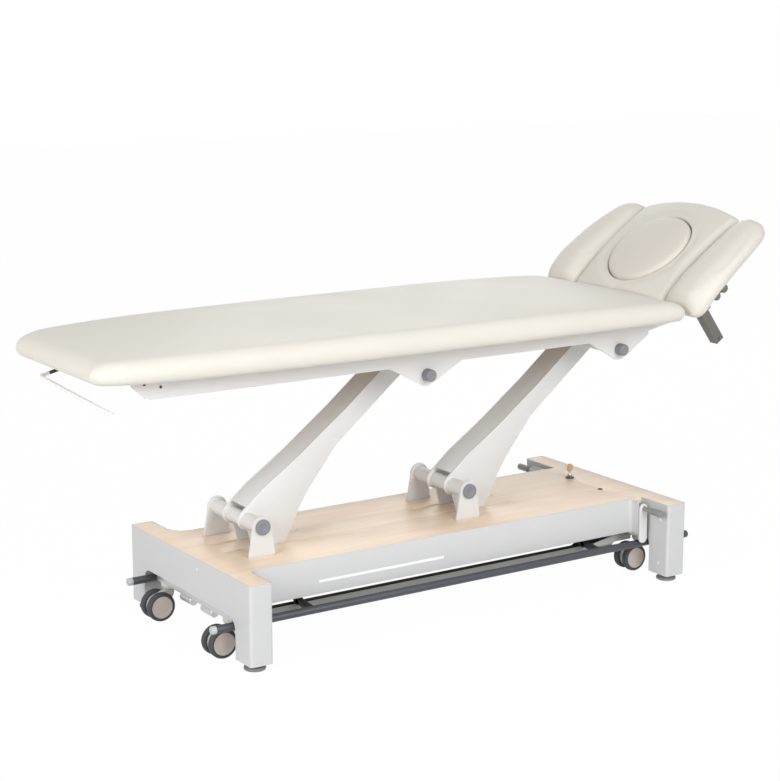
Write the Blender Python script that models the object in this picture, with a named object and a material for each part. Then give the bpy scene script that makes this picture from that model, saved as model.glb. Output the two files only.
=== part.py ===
"""Electric examination couch, metres, +Z up, foot end towards -X, head end towards +X.

The couch stands on four levelling feet. Two lift arms and the top frame make a parallelogram
on the base, a linear drive under the deck pushes the head arm, and the curved head section
tilts on its hinge.
"""
import math

import bmesh
import bpy
from mathutils import Matrix, Vector

for old in list(bpy.data.objects):
    bpy.data.objects.remove(old, do_unlink=True)

# Clearance between pieces that touch or run on each other
GAP = 0.0003
WALL = 0.003
# Where the base stands along X, so that the whole couch is centred on the origin
BASE_X = 0.0080

# Base
BASE_LENGTH = 1.345
BASE_WIDTH = 0.630
END_LENGTH = 0.062
LEG_WIDTH = 0.074
FOOT_HEIGHT = 0.018
FOOT_RADIUS = 0.027
STEM_RADIUS = 0.006
DECK_TOP = 0.217
DECK_THICKNESS = 0.018
ARCH_TOP = 0.119
ARCH_RADIUS = 0.030
CORNER_RADIUS = 0.008
BODY_FRONT = BASE_WIDTH / 2 - 0.109
BODY_REAR = BASE_WIDTH / 2 - 0.129
FRONT_FILLET = 0.022
REAR_FILLET = 0.045
PANEL_BOTTOM = 0.135
CHASSIS_Y = 0.115
CHASSIS_WIDTH = 0.030
CHASSIS_BOTTOM = 0.1428
CROSS_START = -0.200
CROSS_WIDTH = 0.035
CROSS_DEPTH = 0.020
CONTROL_START = 0.310
CONTROL_LENGTH = 0.140
CONTROL_WIDTH = 0.170
CONTROL_HEIGHT = 0.046
KEY_X = BASE_LENGTH / 2 - 0.0955
KEY_Y = 0.066
LOCK_RADIUS = 0.0085
SPARE_X = BASE_LENGTH / 2 - 0.1025
SPARE_Y = -0.077

# Lift
LOWER_PIVOT_X = -0.5257
PIVOT_SPACING = 0.6187
LOWER_PIVOT_Z = 0.2908
ARM_LENGTH = 0.548
LIFT_ANGLE = math.radians(39.3)
LIFT_LOW = math.radians(-36.0)
LIFT_HIGH = math.radians(25.0)
LOWER_SHAFT_RADIUS = 0.012
LOWER_TUBE_RADIUS = 0.019
LOWER_CAP_RADIUS = 0.0195
LOWER_CAP_FACE = 0.126
EAR_THICKNESS = 0.006
EAR_RADIUS = 0.027
EAR_LEFT = 0.038
EAR_RIGHT = 0.035
UPPER_SHAFT_RADIUS = 0.010
UPPER_TUBE_RADIUS = 0.0158
UPPER_CAP_RADIUS = 0.0155
UPPER_CAP_LENGTH = 0.023
ARM_WIDTH = 0.084
CHEEK_THICKNESS = 0.006
WEB_THICKNESS = 0.004
SLOT_LEFT = 0.066
SLOT_RIGHT = 0.192
SLOT_MARGIN = 0.003

# Linear drive
YOKE_DROP = 0.130
YOKE_PIN_RADIUS = 0.006
YOKE_PLAY = 0.0022
YOKE_SLOPE = 1.078
ROD_RADIUS = 0.010
DRIVE_TUBE_RADIUS = 0.018
DRIVE_TAIL = -0.330
DRIVE_NOSE = 0.113
GEAR_START = -0.345
GEAR_END = -0.285
GEAR_LEFT = 0.032
GEAR_RIGHT = 0.094
GEAR_DOWN = 0.026
GEAR_UP = 0.030
MOTOR_Y = 0.070
MOTOR_RADIUS = 0.024
MOTOR_END = -0.130

# Foot switch bars
BAR_Y = BODY_FRONT + 0.018
BAR_Z = 0.095
BAR_RADIUS = 0.010
BAR_FOOT_REACH = 0.057
BAR_HEAD_REACH = 0.088
BAR_PLUG = 0.014
BAR_ARM_X = 0.440
BAR_ARM_WIDTH = 0.016
BAR_HINGE_Z = 0.126
BAR_PIN_RADIUS = 0.005

# Castors and their lift
WHEEL_RADIUS = 0.0375
WHEEL_WIDTH = 0.019
WHEEL_INNER = 0.008
WHEEL_CLEAR = 0.004
CASTOR_Y = BAR_Y - 0.060
CASTOR_TRAIL = 0.033
CASTOR_STEM = 0.0057
CASTOR_TRAVEL = 0.014
BEAM_BOTTOM = 0.098
BEAM_WIDTH = 0.040
PEDAL_X = BASE_LENGTH / 2 - 0.085
PEDAL_SHAFT_RADIUS = 0.008
PEDAL_SWING = math.radians(60.0)
CAM_RADIUS = 0.016
CAM_Y = 0.160
CAM_WIDTH = 0.024
CAM_PLAY = 0.0004
CRANK_RADIUS = 0.030
PEDAL_PLATE_Y = BODY_FRONT + 0.007
PEDAL_PLATE = 0.006
PEDAL_HEIGHT = 0.075
PEDAL_ROD_RADIUS = 0.0065
PEDAL_ROD_END = BASE_WIDTH / 2 - 0.006
SHAFT_Z = 0.122

# Top frame
RAIL_Y = 0.205
RAIL_WEB = 0.006
RAIL_BOTTOM = 0.663
RAIL_TOP = 0.711
RAIL_FOOT_TOP = -0.909
RAIL_FOOT_BOTTOM = -0.860
RAIL_HEAD = 0.618
GUSSET_DROP = 0.030
FLANGE_WIDTH = 0.034
FLANGE_THICKNESS = 0.005
FRAME_CROSS_FOOT = -0.700
FRAME_CROSS_HEAD = 0.250
FRAME_CROSS_WIDTH = 0.030
FRAME_CROSS_RISE = 0.010

# Main cushion
PAD_TOP = 0.781
PAD_FOOT = -1.013
PAD_HEAD = 0.667
PAD_LENGTH = PAD_HEAD - PAD_FOOT
BOARD_THICKNESS = 0.012
BOARD_INSET = 0.030
PAD_HALF_WIDTHS = (
    (0.000, 0.212),
    (0.010, 0.2300),
    (0.032, 0.2460),
    (0.068, 0.2620),
    (0.127, 0.2730),
    (0.167, 0.2785),
    (0.257, 0.2890),
    (0.497, 0.3030),
    (0.767, 0.3130),
    (1.167, 0.3195),
    (1.267, 0.3200),
    (1.467, 0.3170),
    (1.605, 0.3135),
    (1.645, 0.3115),
    (1.665, 0.3085),
    (1.675, 0.3025),
    (1.680, 0.2920),
)
# How far the cushion's top is drawn down towards its two ends
PAD_END_FALL = (
    (0.000, 0.0195),
    (0.010, 0.0180),
    (0.030, 0.0145),
    (0.060, 0.0105),
    (0.120, 0.0068),
    (0.180, 0.0045),
    (0.240, 0.0030),
    (0.350, 0.0010),
    (0.500, 0.0000),
)

# Head section, in its own frame: a runs up the slope from the hinge, b stands off it
HINGE_X = 0.684
HINGE_Z = 0.700
HEAD_ANGLE = math.radians(36.0)
HINGE_EYE = 0.0105
HINGE_PIN = 0.006
HEAD_FAR = 0.366
HEAD_BULGE = 0.030
HEAD_TOP = 0.014
HEAD_CROWN = 0.016
SIDE_FAR = 0.373
HEAD_NEAR = 0.010
SIDE_NEAR = 0.013
ARCH_MID = 0.198
ARCH_HALF = 0.179
ARCH_RISE = 0.0208
ARCH_FAR_LIFT = 0.008
HEAD_END_B = 0.049
HEAD_THICKNESS = 0.060
SIDE_THICKNESS = 0.049
HEAD_HALF = 0.1885
SIDE_INNER = 0.1920
PLUG_A = 0.183
PLUG_HALF_LENGTH = 0.127
PLUG_HALF_WIDTH = 0.127
PLUG_PLAY = 0.002
HEAD_BOARD_HALF = 0.182
POST_A = 0.092
POST_Y = 0.226
POST_SIZE = 0.028
POST_END = -0.151
SLEEVE_BOTTOM = -0.045
KNOB_A = (0.150, 0.182)
KNOB_B = -0.0385
KNOB_RADIUS = 0.011
ROLL_ROD_RADIUS = 0.0045
ROLL_REACH = 0.310
ROLL_ROOT = 0.151
ROLL_KNEE = 0.088
ROLL_BEND = 0.058
ROLL_TURN = 0.0525
ROLL_TIP = -0.016
# Side cushions in plan: along, inner edge, outer edge
SIDE_PLAN = (
    (0.000, 0.192, 0.310),
    (0.014, 0.192, 0.324),
    (0.040, 0.192, 0.332),
    (0.110, 0.192, 0.333),
    (0.190, 0.192, 0.329),
    (0.260, 0.192, 0.320),
    (0.310, 0.193, 0.307),
    (0.338, 0.197, 0.292),
    (0.354, 0.205, 0.274),
    (0.363, 0.218, 0.252),
)
# Height of the side cushions' crown over the arch of the head section
SIDE_RISE = (
    (0.000, 0.018),
    (0.050, 0.022),
    (0.100, 0.021),
    (0.170, 0.017),
    (0.270, 0.014),
    (0.363, 0.013),
)

PARTS = bpy.data.collections.new("examination_couch")
CUTTERS = bpy.data.collections.new("cutters")
bpy.context.scene.collection.children.link(PARTS)
bpy.context.scene.collection.children.link(CUTTERS)


def material(name, colour, roughness, metallic=0.0):
    made = bpy.data.materials.get(name)
    if made is None:
        made = bpy.data.materials.new(name)
        made.use_nodes = True
        shader = made.node_tree.nodes["Principled BSDF"]
        shader.inputs["Base Color"].default_value = (*colour, 1.0)
        shader.inputs["Roughness"].default_value = roughness
        shader.inputs["Metallic"].default_value = metallic
    return made


UPHOLSTERY = material("cream_vinyl", (0.74, 0.72, 0.66), 0.45)
GREY_PAINT = material("grey_paint", (0.62, 0.63, 0.63), 0.45)
ARM_PAINT = material("light_grey_paint", (0.72, 0.72, 0.71), 0.40)
BIRCH = material("birch_deck", (0.80, 0.66, 0.50), 0.50)
CAP_GREY = material("cap_grey", (0.26, 0.27, 0.30), 0.50)
BAR_BLUE = material("bar_dark_blue", (0.06, 0.065, 0.08), 0.45)
PLUG_GREY = material("plug_light_grey", (0.55, 0.56, 0.58), 0.55)
TYRE = material("tyre_grey", (0.06, 0.062, 0.075), 0.60)
CASTOR_BEIGE = material("castor_beige", (0.60, 0.55, 0.46), 0.50)
STEEL = material("zinc_steel", (0.45, 0.45, 0.46), 0.35, 1.0)
DARK_STEEL = material("dark_steel", (0.10, 0.10, 0.11), 0.50, 0.6)
POST_BROWN = material("post_dark", (0.15, 0.14, 0.13), 0.45)
KNOB_GREEN = material("knob_grey_green", (0.17, 0.18, 0.15), 0.55)
WHITE = material("white_coat", (0.82, 0.82, 0.82), 0.40)
FOOT_GREY = material("foot_grey", (0.20, 0.20, 0.19), 0.60)
PLYWOOD = material("plywood", (0.62, 0.48, 0.33), 0.70)
BRASS = material("brass", (0.60, 0.42, 0.18), 0.35, 1.0)
DRIVE_GREY = material("drive_black", (0.04, 0.04, 0.045), 0.50)
ALUMINIUM = material("aluminium", (0.60, 0.60, 0.62), 0.30, 1.0)


def shape(name, points, faces):
    """A closed mesh object with its faces turned outwards, kept as a helper until it is finished."""
    data = bpy.data.meshes.new(name)
    built = bmesh.new()
    corners = [built.verts.new(p) for p in points]
    for face in faces:
        built.faces.new([corners[i] for i in face])
    bmesh.ops.recalc_face_normals(built, faces=built.faces)
    if built.calc_volume(signed=True) < 0:
        bmesh.ops.reverse_faces(built, faces=built.faces)
    built.to_mesh(data)
    built.free()
    made = bpy.data.objects.new(name, data)
    CUTTERS.objects.link(made)
    made.hide_render = True
    made.display_type = "WIRE"
    return made


def prism(name, axis, outline, low, high):
    """An outline pushed along an axis. The outline's two numbers are the other two axes in order."""
    def place(p, along):
        if axis == "X":
            return (along, p[0], p[1])
        if axis == "Y":
            return (p[0], along, p[1])
        return (p[0], p[1], along)

    count = len(outline)
    points = [place(p, low) for p in outline] + [place(p, high) for p in outline]
    faces = [tuple(range(count)), tuple(range(count, 2 * count))]
    for i in range(count):
        j = (i + 1) % count
        faces.append((i, j, count + j, count + i))
    return shape(name, points, faces)


def box(name, low, high):
    outline = [(low[0], low[1]), (high[0], low[1]), (high[0], high[1]), (low[0], high[1])]
    return prism(name, "Z", outline, low[2], high[2])


def arc(centre, radius, start, end, steps):
    """Points on an arc, angles in degrees, both ends included."""
    points = []
    for i in range(steps + 1):
        angle = math.radians(start + (end - start) * i / steps)
        points.append((centre[0] + radius * math.cos(angle), centre[1] + radius * math.sin(angle)))
    return points


def rod(name, axis, centre, radius, low, high, sides=16):
    return prism(name, axis, arc(centre, radius, 0, 360 - 360 / sides, sides - 1), low, high)


def stadium(first, second, radius, steps=5):
    """The outline round two circles of one radius."""
    turn = math.degrees(math.atan2(second[1] - first[1], second[0] - first[0]))
    points = arc(second, radius, turn - 90, turn + 90, steps)
    return points + arc(first, radius, turn + 90, turn + 270, steps)


def rounded_rectangle(low, high, radius, steps=4):
    points = arc((high[0] - radius, high[1] - radius), radius, 0, 90, steps)
    points += arc((low[0] + radius, high[1] - radius), radius, 90, 180, steps)
    points += arc((low[0] + radius, low[1] + radius), radius, 180, 270, steps)
    points += arc((high[0] - radius, low[1] + radius), radius, 270, 360, steps)
    return points


def turned(name, axis, centre, profile, sides=16):
    """A solid of revolution: the profile is pairs of place along the axis and radius."""
    def place(angle, along, radius):
        first = centre[0] + radius * math.cos(angle)
        second = centre[1] + radius * math.sin(angle)
        if axis == "X":
            return (along, first, second)
        if axis == "Y":
            return (first, along, second)
        return (first, second, along)

    points = []
    for along, radius in profile:
        points += [place(2 * math.pi * i / sides, along, radius) for i in range(sides)]
    faces = [tuple(range(sides)), tuple(range((len(profile) - 1) * sides, len(profile) * sides))]
    for ring in range(len(profile) - 1):
        for i in range(sides):
            j = (i + 1) % sides
            low, high = ring * sides, (ring + 1) * sides
            faces.append((low + i, low + j, high + j, high + i))
    return shape(name, points, faces)


def merge(target, others, operation="UNION"):
    """The exact Boolean of the target with each of the others in turn."""
    for other in others:
        step = target.modifiers.new("join", "BOOLEAN")
        step.operation = operation
        step.solver = "EXACT"
        step.object = other
        graph = bpy.context.evaluated_depsgraph_get()
        data = bpy.data.meshes.new_from_object(target.evaluated_get(graph))
        target.modifiers.clear()
        old = target.data
        target.data = data
        bpy.data.meshes.remove(old)
        bpy.data.objects.remove(other, do_unlink=True)
    return target


def cut(target, others):
    return merge(target, others, "DIFFERENCE")


def finish(made, paint, origin=None, smooth=False):
    """Moves a helper into the couch's own collection, with its origin on its joint."""
    name = made.name
    CUTTERS.objects.unlink(made)
    PARTS.objects.link(made)
    made.hide_render = False
    made.display_type = "TEXTURED"
    made.data.materials.clear()
    made.data.materials.append(paint)
    made.data.name = name
    if origin is not None:
        made.data.transform(Matrix.Translation(-Vector(origin)))
        made.location = origin
    for face in made.data.polygons:
        face.use_smooth = smooth
    return made


def step_along(table, value):
    """Straight-line reading of a table of pairs."""
    if value <= table[0][0]:
        return table[0][1]
    for (x0, y0), (x1, y1) in zip(table, table[1:]):
        if value <= x1:
            return y0 + (y1 - y0) * (value - x0) / (x1 - x0)
    return table[-1][1]


def swell(distance, radius):
    """Height share of a rounded cushion edge at this distance from its outline."""
    if distance >= radius:
        return 1.0
    return math.sqrt(max(0.0, 1.0 - (1.0 - distance / radius) ** 2))


def cushion(name, rows, columns, plan, bottom, top, middle, edge, under, crown, place, shift=None):
    """A pillow on a grid: plan gives the point, the distance to its ends and the distance to its sides."""
    shift = shift or (lambda along: 0.0)
    points = []
    index = {}
    for side in (1, -1):
        for i, along in enumerate(rows):
            for j, across in enumerate(columns):
                rim = i in (0, len(rows) - 1) or j in (0, len(columns) - 1)
                if rim and side == -1:
                    index[side, i, j] = index[1, i, j]
                    continue
                x, y, from_end, from_side = plan(along, across)
                if side == 1:
                    share = swell(from_end, edge) * swell(from_side, edge)
                    lift = crown * (1.0 - across * across)
                    height = middle + (top + shift(along) - crown + lift - middle) * share
                else:
                    share = swell(from_end, under) * swell(from_side, under)
                    height = middle + (bottom - middle) * share
                index[side, i, j] = len(points)
                points.append(place(x, y, height))
    faces = []
    for side in (1, -1):
        for i in range(len(rows) - 1):
            for j in range(len(columns) - 1):
                faces.append(
                    (
                        index[side, i, j],
                        index[side, i + 1, j],
                        index[side, i + 1, j + 1],
                        index[side, i, j + 1],
                    )
                )
    return shape(name, points, faces)


def base_x(x):
    return BASE_X + x


HALF_LENGTH = BASE_LENGTH / 2
HALF_WIDTH = BASE_WIDTH / 2
DECK_BOTTOM = DECK_TOP - DECK_THICKNESS
INNER_FACE = HALF_LENGTH - END_LENGTH
LEG_INNER = HALF_WIDTH - LEG_WIDTH
LEG_X = HALF_LENGTH - END_LENGTH / 2
CHASSIS_TOP = DECK_BOTTOM - GAP
CHASSIS_IN = CHASSIS_Y - CHASSIS_WIDTH / 2
CHASSIS_OUT = CHASSIS_Y + CHASSIS_WIDTH / 2
AXLE_Z = WHEEL_RADIUS + WHEEL_CLEAR
CAM_THROW = CASTOR_TRAVEL
BEAM_TOP = SHAFT_Z + CAM_THROW / 2 - CAM_RADIUS - CAM_PLAY
EAR_IN = LOWER_CAP_FACE - 0.008 - EAR_THICKNESS
EAR_OUT = EAR_IN + EAR_THICKNESS
PIVOTS = {"foot": LOWER_PIVOT_X, "head": LOWER_PIVOT_X + PIVOT_SPACING}
UPPER_DX = ARM_LENGTH * math.cos(LIFT_ANGLE)
UPPER_Z = LOWER_PIVOT_Z + ARM_LENGTH * math.sin(LIFT_ANGLE)
LEVER_ANGLE = -math.pi / 2 - (LIFT_LOW + LIFT_HIGH) / 2
SIGNS = {"front": -1, "rear": 1}
ENDS = {"foot": -1, "head": 1}


def build_end_frame(end):
    """Painted sheet-steel portal: two hollow legs under a hollow beam, open above for the deck."""
    sign = ENDS[end]
    centre = base_x(sign * LEG_X)
    low = (centre - END_LENGTH / 2, -HALF_WIDTH)
    high = (centre + END_LENGTH / 2, HALF_WIDTH)
    plan = rounded_rectangle(low, high, CORNER_RADIUS)
    frame = prism(f"end_frame_{end}", "Z", plan, FOOT_HEIGHT, DECK_TOP)
    inset = (low[0] + WALL, low[1] + WALL)
    outset = (high[0] - WALL, high[1] - WALL)
    arch = [(LEG_INNER, FOOT_HEIGHT - 0.01)]
    arch += arc((LEG_INNER - ARCH_RADIUS, ARCH_TOP - ARCH_RADIUS), ARCH_RADIUS, 0, 90, 5)
    arch += arc((-LEG_INNER + ARCH_RADIUS, ARCH_TOP - ARCH_RADIUS), ARCH_RADIUS, 90, 180, 5)
    arch += [(-LEG_INNER, FOOT_HEIGHT - 0.01)]
    cutters = [prism("arch", "X", arch, low[0] - 0.01, high[0] + 0.01)]
    beam = rounded_rectangle(inset, outset, CORNER_RADIUS - WALL)
    cutters.append(prism("beam", "Z", beam, ARCH_TOP + WALL, DECK_TOP + 0.01))
    for side in (-1, 1):
        near = side * (LEG_INNER + WALL)
        far = side * (HALF_WIDTH - WALL)
        leg_low = (inset[0], min(near, far), FOOT_HEIGHT + WALL)
        leg_high = (outset[0], max(near, far), ARCH_TOP + 2 * WALL)
        cutters.append(box("leg", leg_low, leg_high))
        hole = (centre, side * (HALF_WIDTH - LEG_WIDTH / 2))
        low = FOOT_HEIGHT - 0.01
        cutters.append(rod("stem_hole", "Z", hole, STEM_RADIUS + GAP, low, low + 0.02, 12))
    belly = (inset[0], -LEG_INNER + ARCH_RADIUS, ARCH_TOP - 0.01)
    cutters.append(box("belly", belly, (outset[0], LEG_INNER - ARCH_RADIUS, ARCH_TOP + 2 * WALL)))
    inner = centre - sign * END_LENGTH / 2
    mouth_x = sorted((inner - sign * 0.01, inner + sign * 2 * WALL))
    mouth_low = (mouth_x[0], -BODY_FRONT - FRONT_FILLET - WALL, ARCH_TOP - 0.01)
    mouth_high = (mouth_x[1], BODY_REAR + REAR_FILLET + WALL, DECK_TOP + 0.01)
    cutters.append(box("mouth", mouth_low, mouth_high))
    return finish(cut(frame, cutters), GREY_PAINT)


def side_edge(side, offset):
    """Plan line of the body's side from the foot end to the head end, moved inwards by an offset."""
    line = BODY_FRONT if side < 0 else BODY_REAR
    fillet = FRONT_FILLET if side < 0 else REAR_FILLET
    reach = INNER_FACE - GAP
    radius = fillet + offset
    first = math.degrees(math.acos(min(1.0, fillet / radius)))
    points = []
    for end in (-1, 1):
        centre = (base_x(end * (reach - fillet)), side * (line + fillet))
        bend = []
        for i in range(7):
            angle = math.radians(first + (90 - first) * i / 6)
            x = centre[0] + end * radius * math.cos(angle)
            bend.append((x, centre[1] - side * radius * math.sin(angle)))
        points += bend if end < 0 else bend[::-1]
    return points


def build_side_panels():
    """Painted sheet-steel side of the narrow body, swept out to the end frames at both ends."""
    for place, side in SIGNS.items():
        outline = side_edge(side, 0.0) + side_edge(side, WALL)[::-1]
        panel = prism(f"side_panel_{place}", "Z", outline, PANEL_BOTTOM, DECK_TOP)
        finish(panel, GREY_PAINT)


def build_deck():
    """Birch plywood deck let in flush between the panels and the end frames."""
    wall = WALL + GAP
    end_in = INNER_FACE + wall
    end_out = HALF_LENGTH - wall
    wide = HALF_WIDTH - wall
    front = side_edge(-1, wall)
    rear = side_edge(1, wall)
    soft = CORNER_RADIUS - WALL + GAP
    left = base_x(-end_out)
    right = base_x(end_out)
    outline = arc((left + soft, -wide + soft), soft, 180, 270, 4)
    outline += arc((base_x(-end_in) - soft, -wide + soft), soft, 270, 360, 4)
    outline += [(base_x(-end_in), front[0][1])]
    outline += front
    outline += [(base_x(end_in), front[-1][1])]
    outline += arc((base_x(end_in) + soft, -wide + soft), soft, 180, 270, 4)
    outline += arc((right - soft, -wide + soft), soft, 270, 360, 4)
    outline += arc((right - soft, wide - soft), soft, 0, 90, 4)
    outline += arc((base_x(end_in) + soft, wide - soft), soft, 90, 180, 4)
    outline += [(base_x(end_in), rear[-1][1])]
    outline += rear[::-1]
    outline += [(base_x(-end_in), rear[0][1])]
    outline += arc((base_x(-end_in) - soft, wide - soft), soft, 0, 90, 4)
    outline += arc((left + soft, wide - soft), soft, 90, 180, 4)
    deck = prism("deck_board", "Z", outline, DECK_BOTTOM, DECK_TOP)
    low = DECK_BOTTOM - 0.01
    high = DECK_TOP + 0.01
    cutters = []
    for pivot in PIVOTS.values():
        x = base_x(pivot)
        for side in (-1, 1):
            cheek = ARM_WIDTH / 2 - CHEEK_THICKNESS / 2
            half = CHEEK_THICKNESS / 2 + SLOT_MARGIN
            y = side * cheek
            slot = stadium((x - SLOT_LEFT + half, y), (x + SLOT_RIGHT - half, y), half, 3)
            cutters.append(prism("slot", "Z", slot, low, high))
            ear_low = min(side * (EAR_IN - SLOT_MARGIN), side * (EAR_OUT + SLOT_MARGIN))
            ear_high = max(side * (EAR_IN - SLOT_MARGIN), side * (EAR_OUT + SLOT_MARGIN))
            ear_from = (x - EAR_LEFT - SLOT_MARGIN, ear_low, low)
            cutters.append(box("ear_slot", ear_from, (x + EAR_RIGHT + SLOT_MARGIN, ear_high, high)))
    cutters.append(rod("key_hole", "Z", (base_x(KEY_X), KEY_Y), LOCK_RADIUS + GAP, low, high, 14))
    cutters.append(rod("spare_hole", "Z", (base_x(SPARE_X), SPARE_Y), 0.004, low, high, 12))
    finish(cut(deck, cutters), BIRCH)




def build_key_and_lock():
    """Safety lock in the deck with its key, which frees the drive."""
    spot = (base_x(KEY_X), KEY_Y)
    lock = turned(
        "key_lock",
        "Z",
        spot,
        (
            (DECK_BOTTOM - 0.012, LOCK_RADIUS),
            (DECK_TOP + GAP, LOCK_RADIUS),
            (DECK_TOP + GAP, LOCK_RADIUS + 0.004),
            (DECK_TOP + 0.004, LOCK_RADIUS + 0.003),
        ),
        14,
    )
    bore = rod("bore", "Z", spot, 0.0043, DECK_TOP - 0.016, DECK_TOP + 0.02, 12)
    finish(cut(lock, [bore]), DARK_STEEL, smooth=False)
    key = rod("key", "Z", spot, 0.004, DECK_TOP - 0.0155, DECK_TOP + 0.021, 12)
    bow = rod("bow", "Y", (spot[0], DECK_TOP + 0.031), 0.0115, KEY_Y - 0.0016, KEY_Y + 0.0016, 14)
    collar = rod("collar", "Z", spot, 0.0065, DECK_TOP + 0.006, DECK_TOP + 0.014, 12)
    finish(merge(key, [bow, collar]), BRASS, origin=(spot[0], spot[1], DECK_TOP))


def build_chassis():
    """Welded steel rails under the deck with the pivot ears, shaft bearings and bar hinges."""
    for place, side in SIGNS.items():
        low_y = min(side * CHASSIS_IN, side * CHASSIS_OUT)
        high_y = max(side * CHASSIS_IN, side * CHASSIS_OUT)
        reach = HALF_LENGTH - WALL - GAP
        low = (base_x(-reach), low_y, CHASSIS_BOTTOM)
        rail = box(f"chassis_rail_{place}", low, (base_x(reach), high_y, CHASSIS_TOP))
        added = []
        holes = []
        for pivot in PIVOTS.values():
            x = base_x(pivot)
            outline = [(x - EAR_LEFT, CHASSIS_TOP - 0.02), (x + EAR_RIGHT, CHASSIS_TOP - 0.02)]
            outline += [(x + EAR_RIGHT, DECK_TOP + 0.004)]
            outline += arc((x, LOWER_PIVOT_Z), EAR_RADIUS, -8, 188, 14)
            outline += [(x - EAR_LEFT, DECK_TOP + 0.004)]
            ear_y = sorted((side * EAR_IN, side * EAR_OUT))
            added.append(prism("ear", "Y", outline, ear_y[0], ear_y[1]))
            holes.append(rod("pivot", "Y", (x, LOWER_PIVOT_Z), LOWER_SHAFT_RADIUS + GAP, -0.2, 0.2))
        for end in (-1, 1):
            x = base_x(end * PEDAL_X)
            low = (x - 0.014, low_y, SHAFT_Z - 0.014)
            added.append(box("bearing", low, (x + 0.014, high_y, CHASSIS_BOTTOM + 0.005)))
            holes.append(rod("shaft", "Y", (x, SHAFT_Z), PEDAL_SHAFT_RADIUS + GAP, -0.2, 0.2))
            guide = (base_x(end * LEG_X), side * CHASSIS_Y)
            holes.append(rod("guide", "Z", guide, 0.0054, CHASSIS_BOTTOM - 0.01, CHASSIS_TOP - 0.012, 12))
            start = base_x(end * BAR_ARM_X)
            lug_low = min(start, start - end * 0.012)
            lug = (lug_low, low_y, BAR_HINGE_Z - 0.010)
            added.append(box("lug", lug, (lug_low + 0.012, high_y, CHASSIS_BOTTOM + 0.005)))
            pin_end = start + end * (BAR_ARM_WIDTH + 0.004)
            pin_start = start - end * 0.006
            hinge = (side * CHASSIS_Y, BAR_HINGE_Z)
            pin_x = sorted((pin_start, pin_end))
            added.append(rod("pin", "X", hinge, BAR_PIN_RADIUS, pin_x[0], pin_x[1], 12))
        finish(cut(merge(rail, added), holes), DARK_STEEL)
    cross_low = (base_x(CROSS_START), -CHASSIS_OUT, CHASSIS_BOTTOM - GAP - CROSS_DEPTH)
    cross_high = (base_x(CROSS_START + CROSS_WIDTH), CHASSIS_OUT, CHASSIS_BOTTOM - GAP)
    cross = box("chassis_cross", cross_low, cross_high)
    finish(cross, DARK_STEEL)
    control_low = (base_x(CONTROL_START), -CONTROL_WIDTH / 2)
    control_high = (base_x(CONTROL_START + CONTROL_LENGTH), CONTROL_WIDTH / 2)
    control = rounded_rectangle(control_low, control_high, 0.008, 3)
    top = DECK_BOTTOM - GAP
    finish(prism("control_box", "Z", control, top - CONTROL_HEIGHT, top), DRIVE_GREY)


def build_feet():
    """Levelling feet: a pressed disc, its nut and its threaded stem, screwed into the leg."""
    for end, along in ENDS.items():
        for place, side in SIGNS.items():
            spot = (base_x(along * LEG_X), side * (HALF_WIDTH - LEG_WIDTH / 2))
            profile = (
                (0.0, FOOT_RADIUS - 0.002),
                (0.003, FOOT_RADIUS),
                (0.008, FOOT_RADIUS - 0.001),
                (FOOT_HEIGHT - 0.007, 0.011),
                (FOOT_HEIGHT - GAP, 0.010),
                (FOOT_HEIGHT - GAP, STEM_RADIUS),
                (FOOT_HEIGHT + 0.045, STEM_RADIUS),
            )
            finish(turned(f"levelling_foot_{end}_{place}", "Z", spot, profile, 16), FOOT_GREY, smooth=False)


def arm_point(pivot_x, u, v):
    c = math.cos(LIFT_ANGLE)
    s = math.sin(LIFT_ANGLE)
    return (pivot_x + u * c - v * s, LOWER_PIVOT_Z + u * s + v * c)


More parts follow.
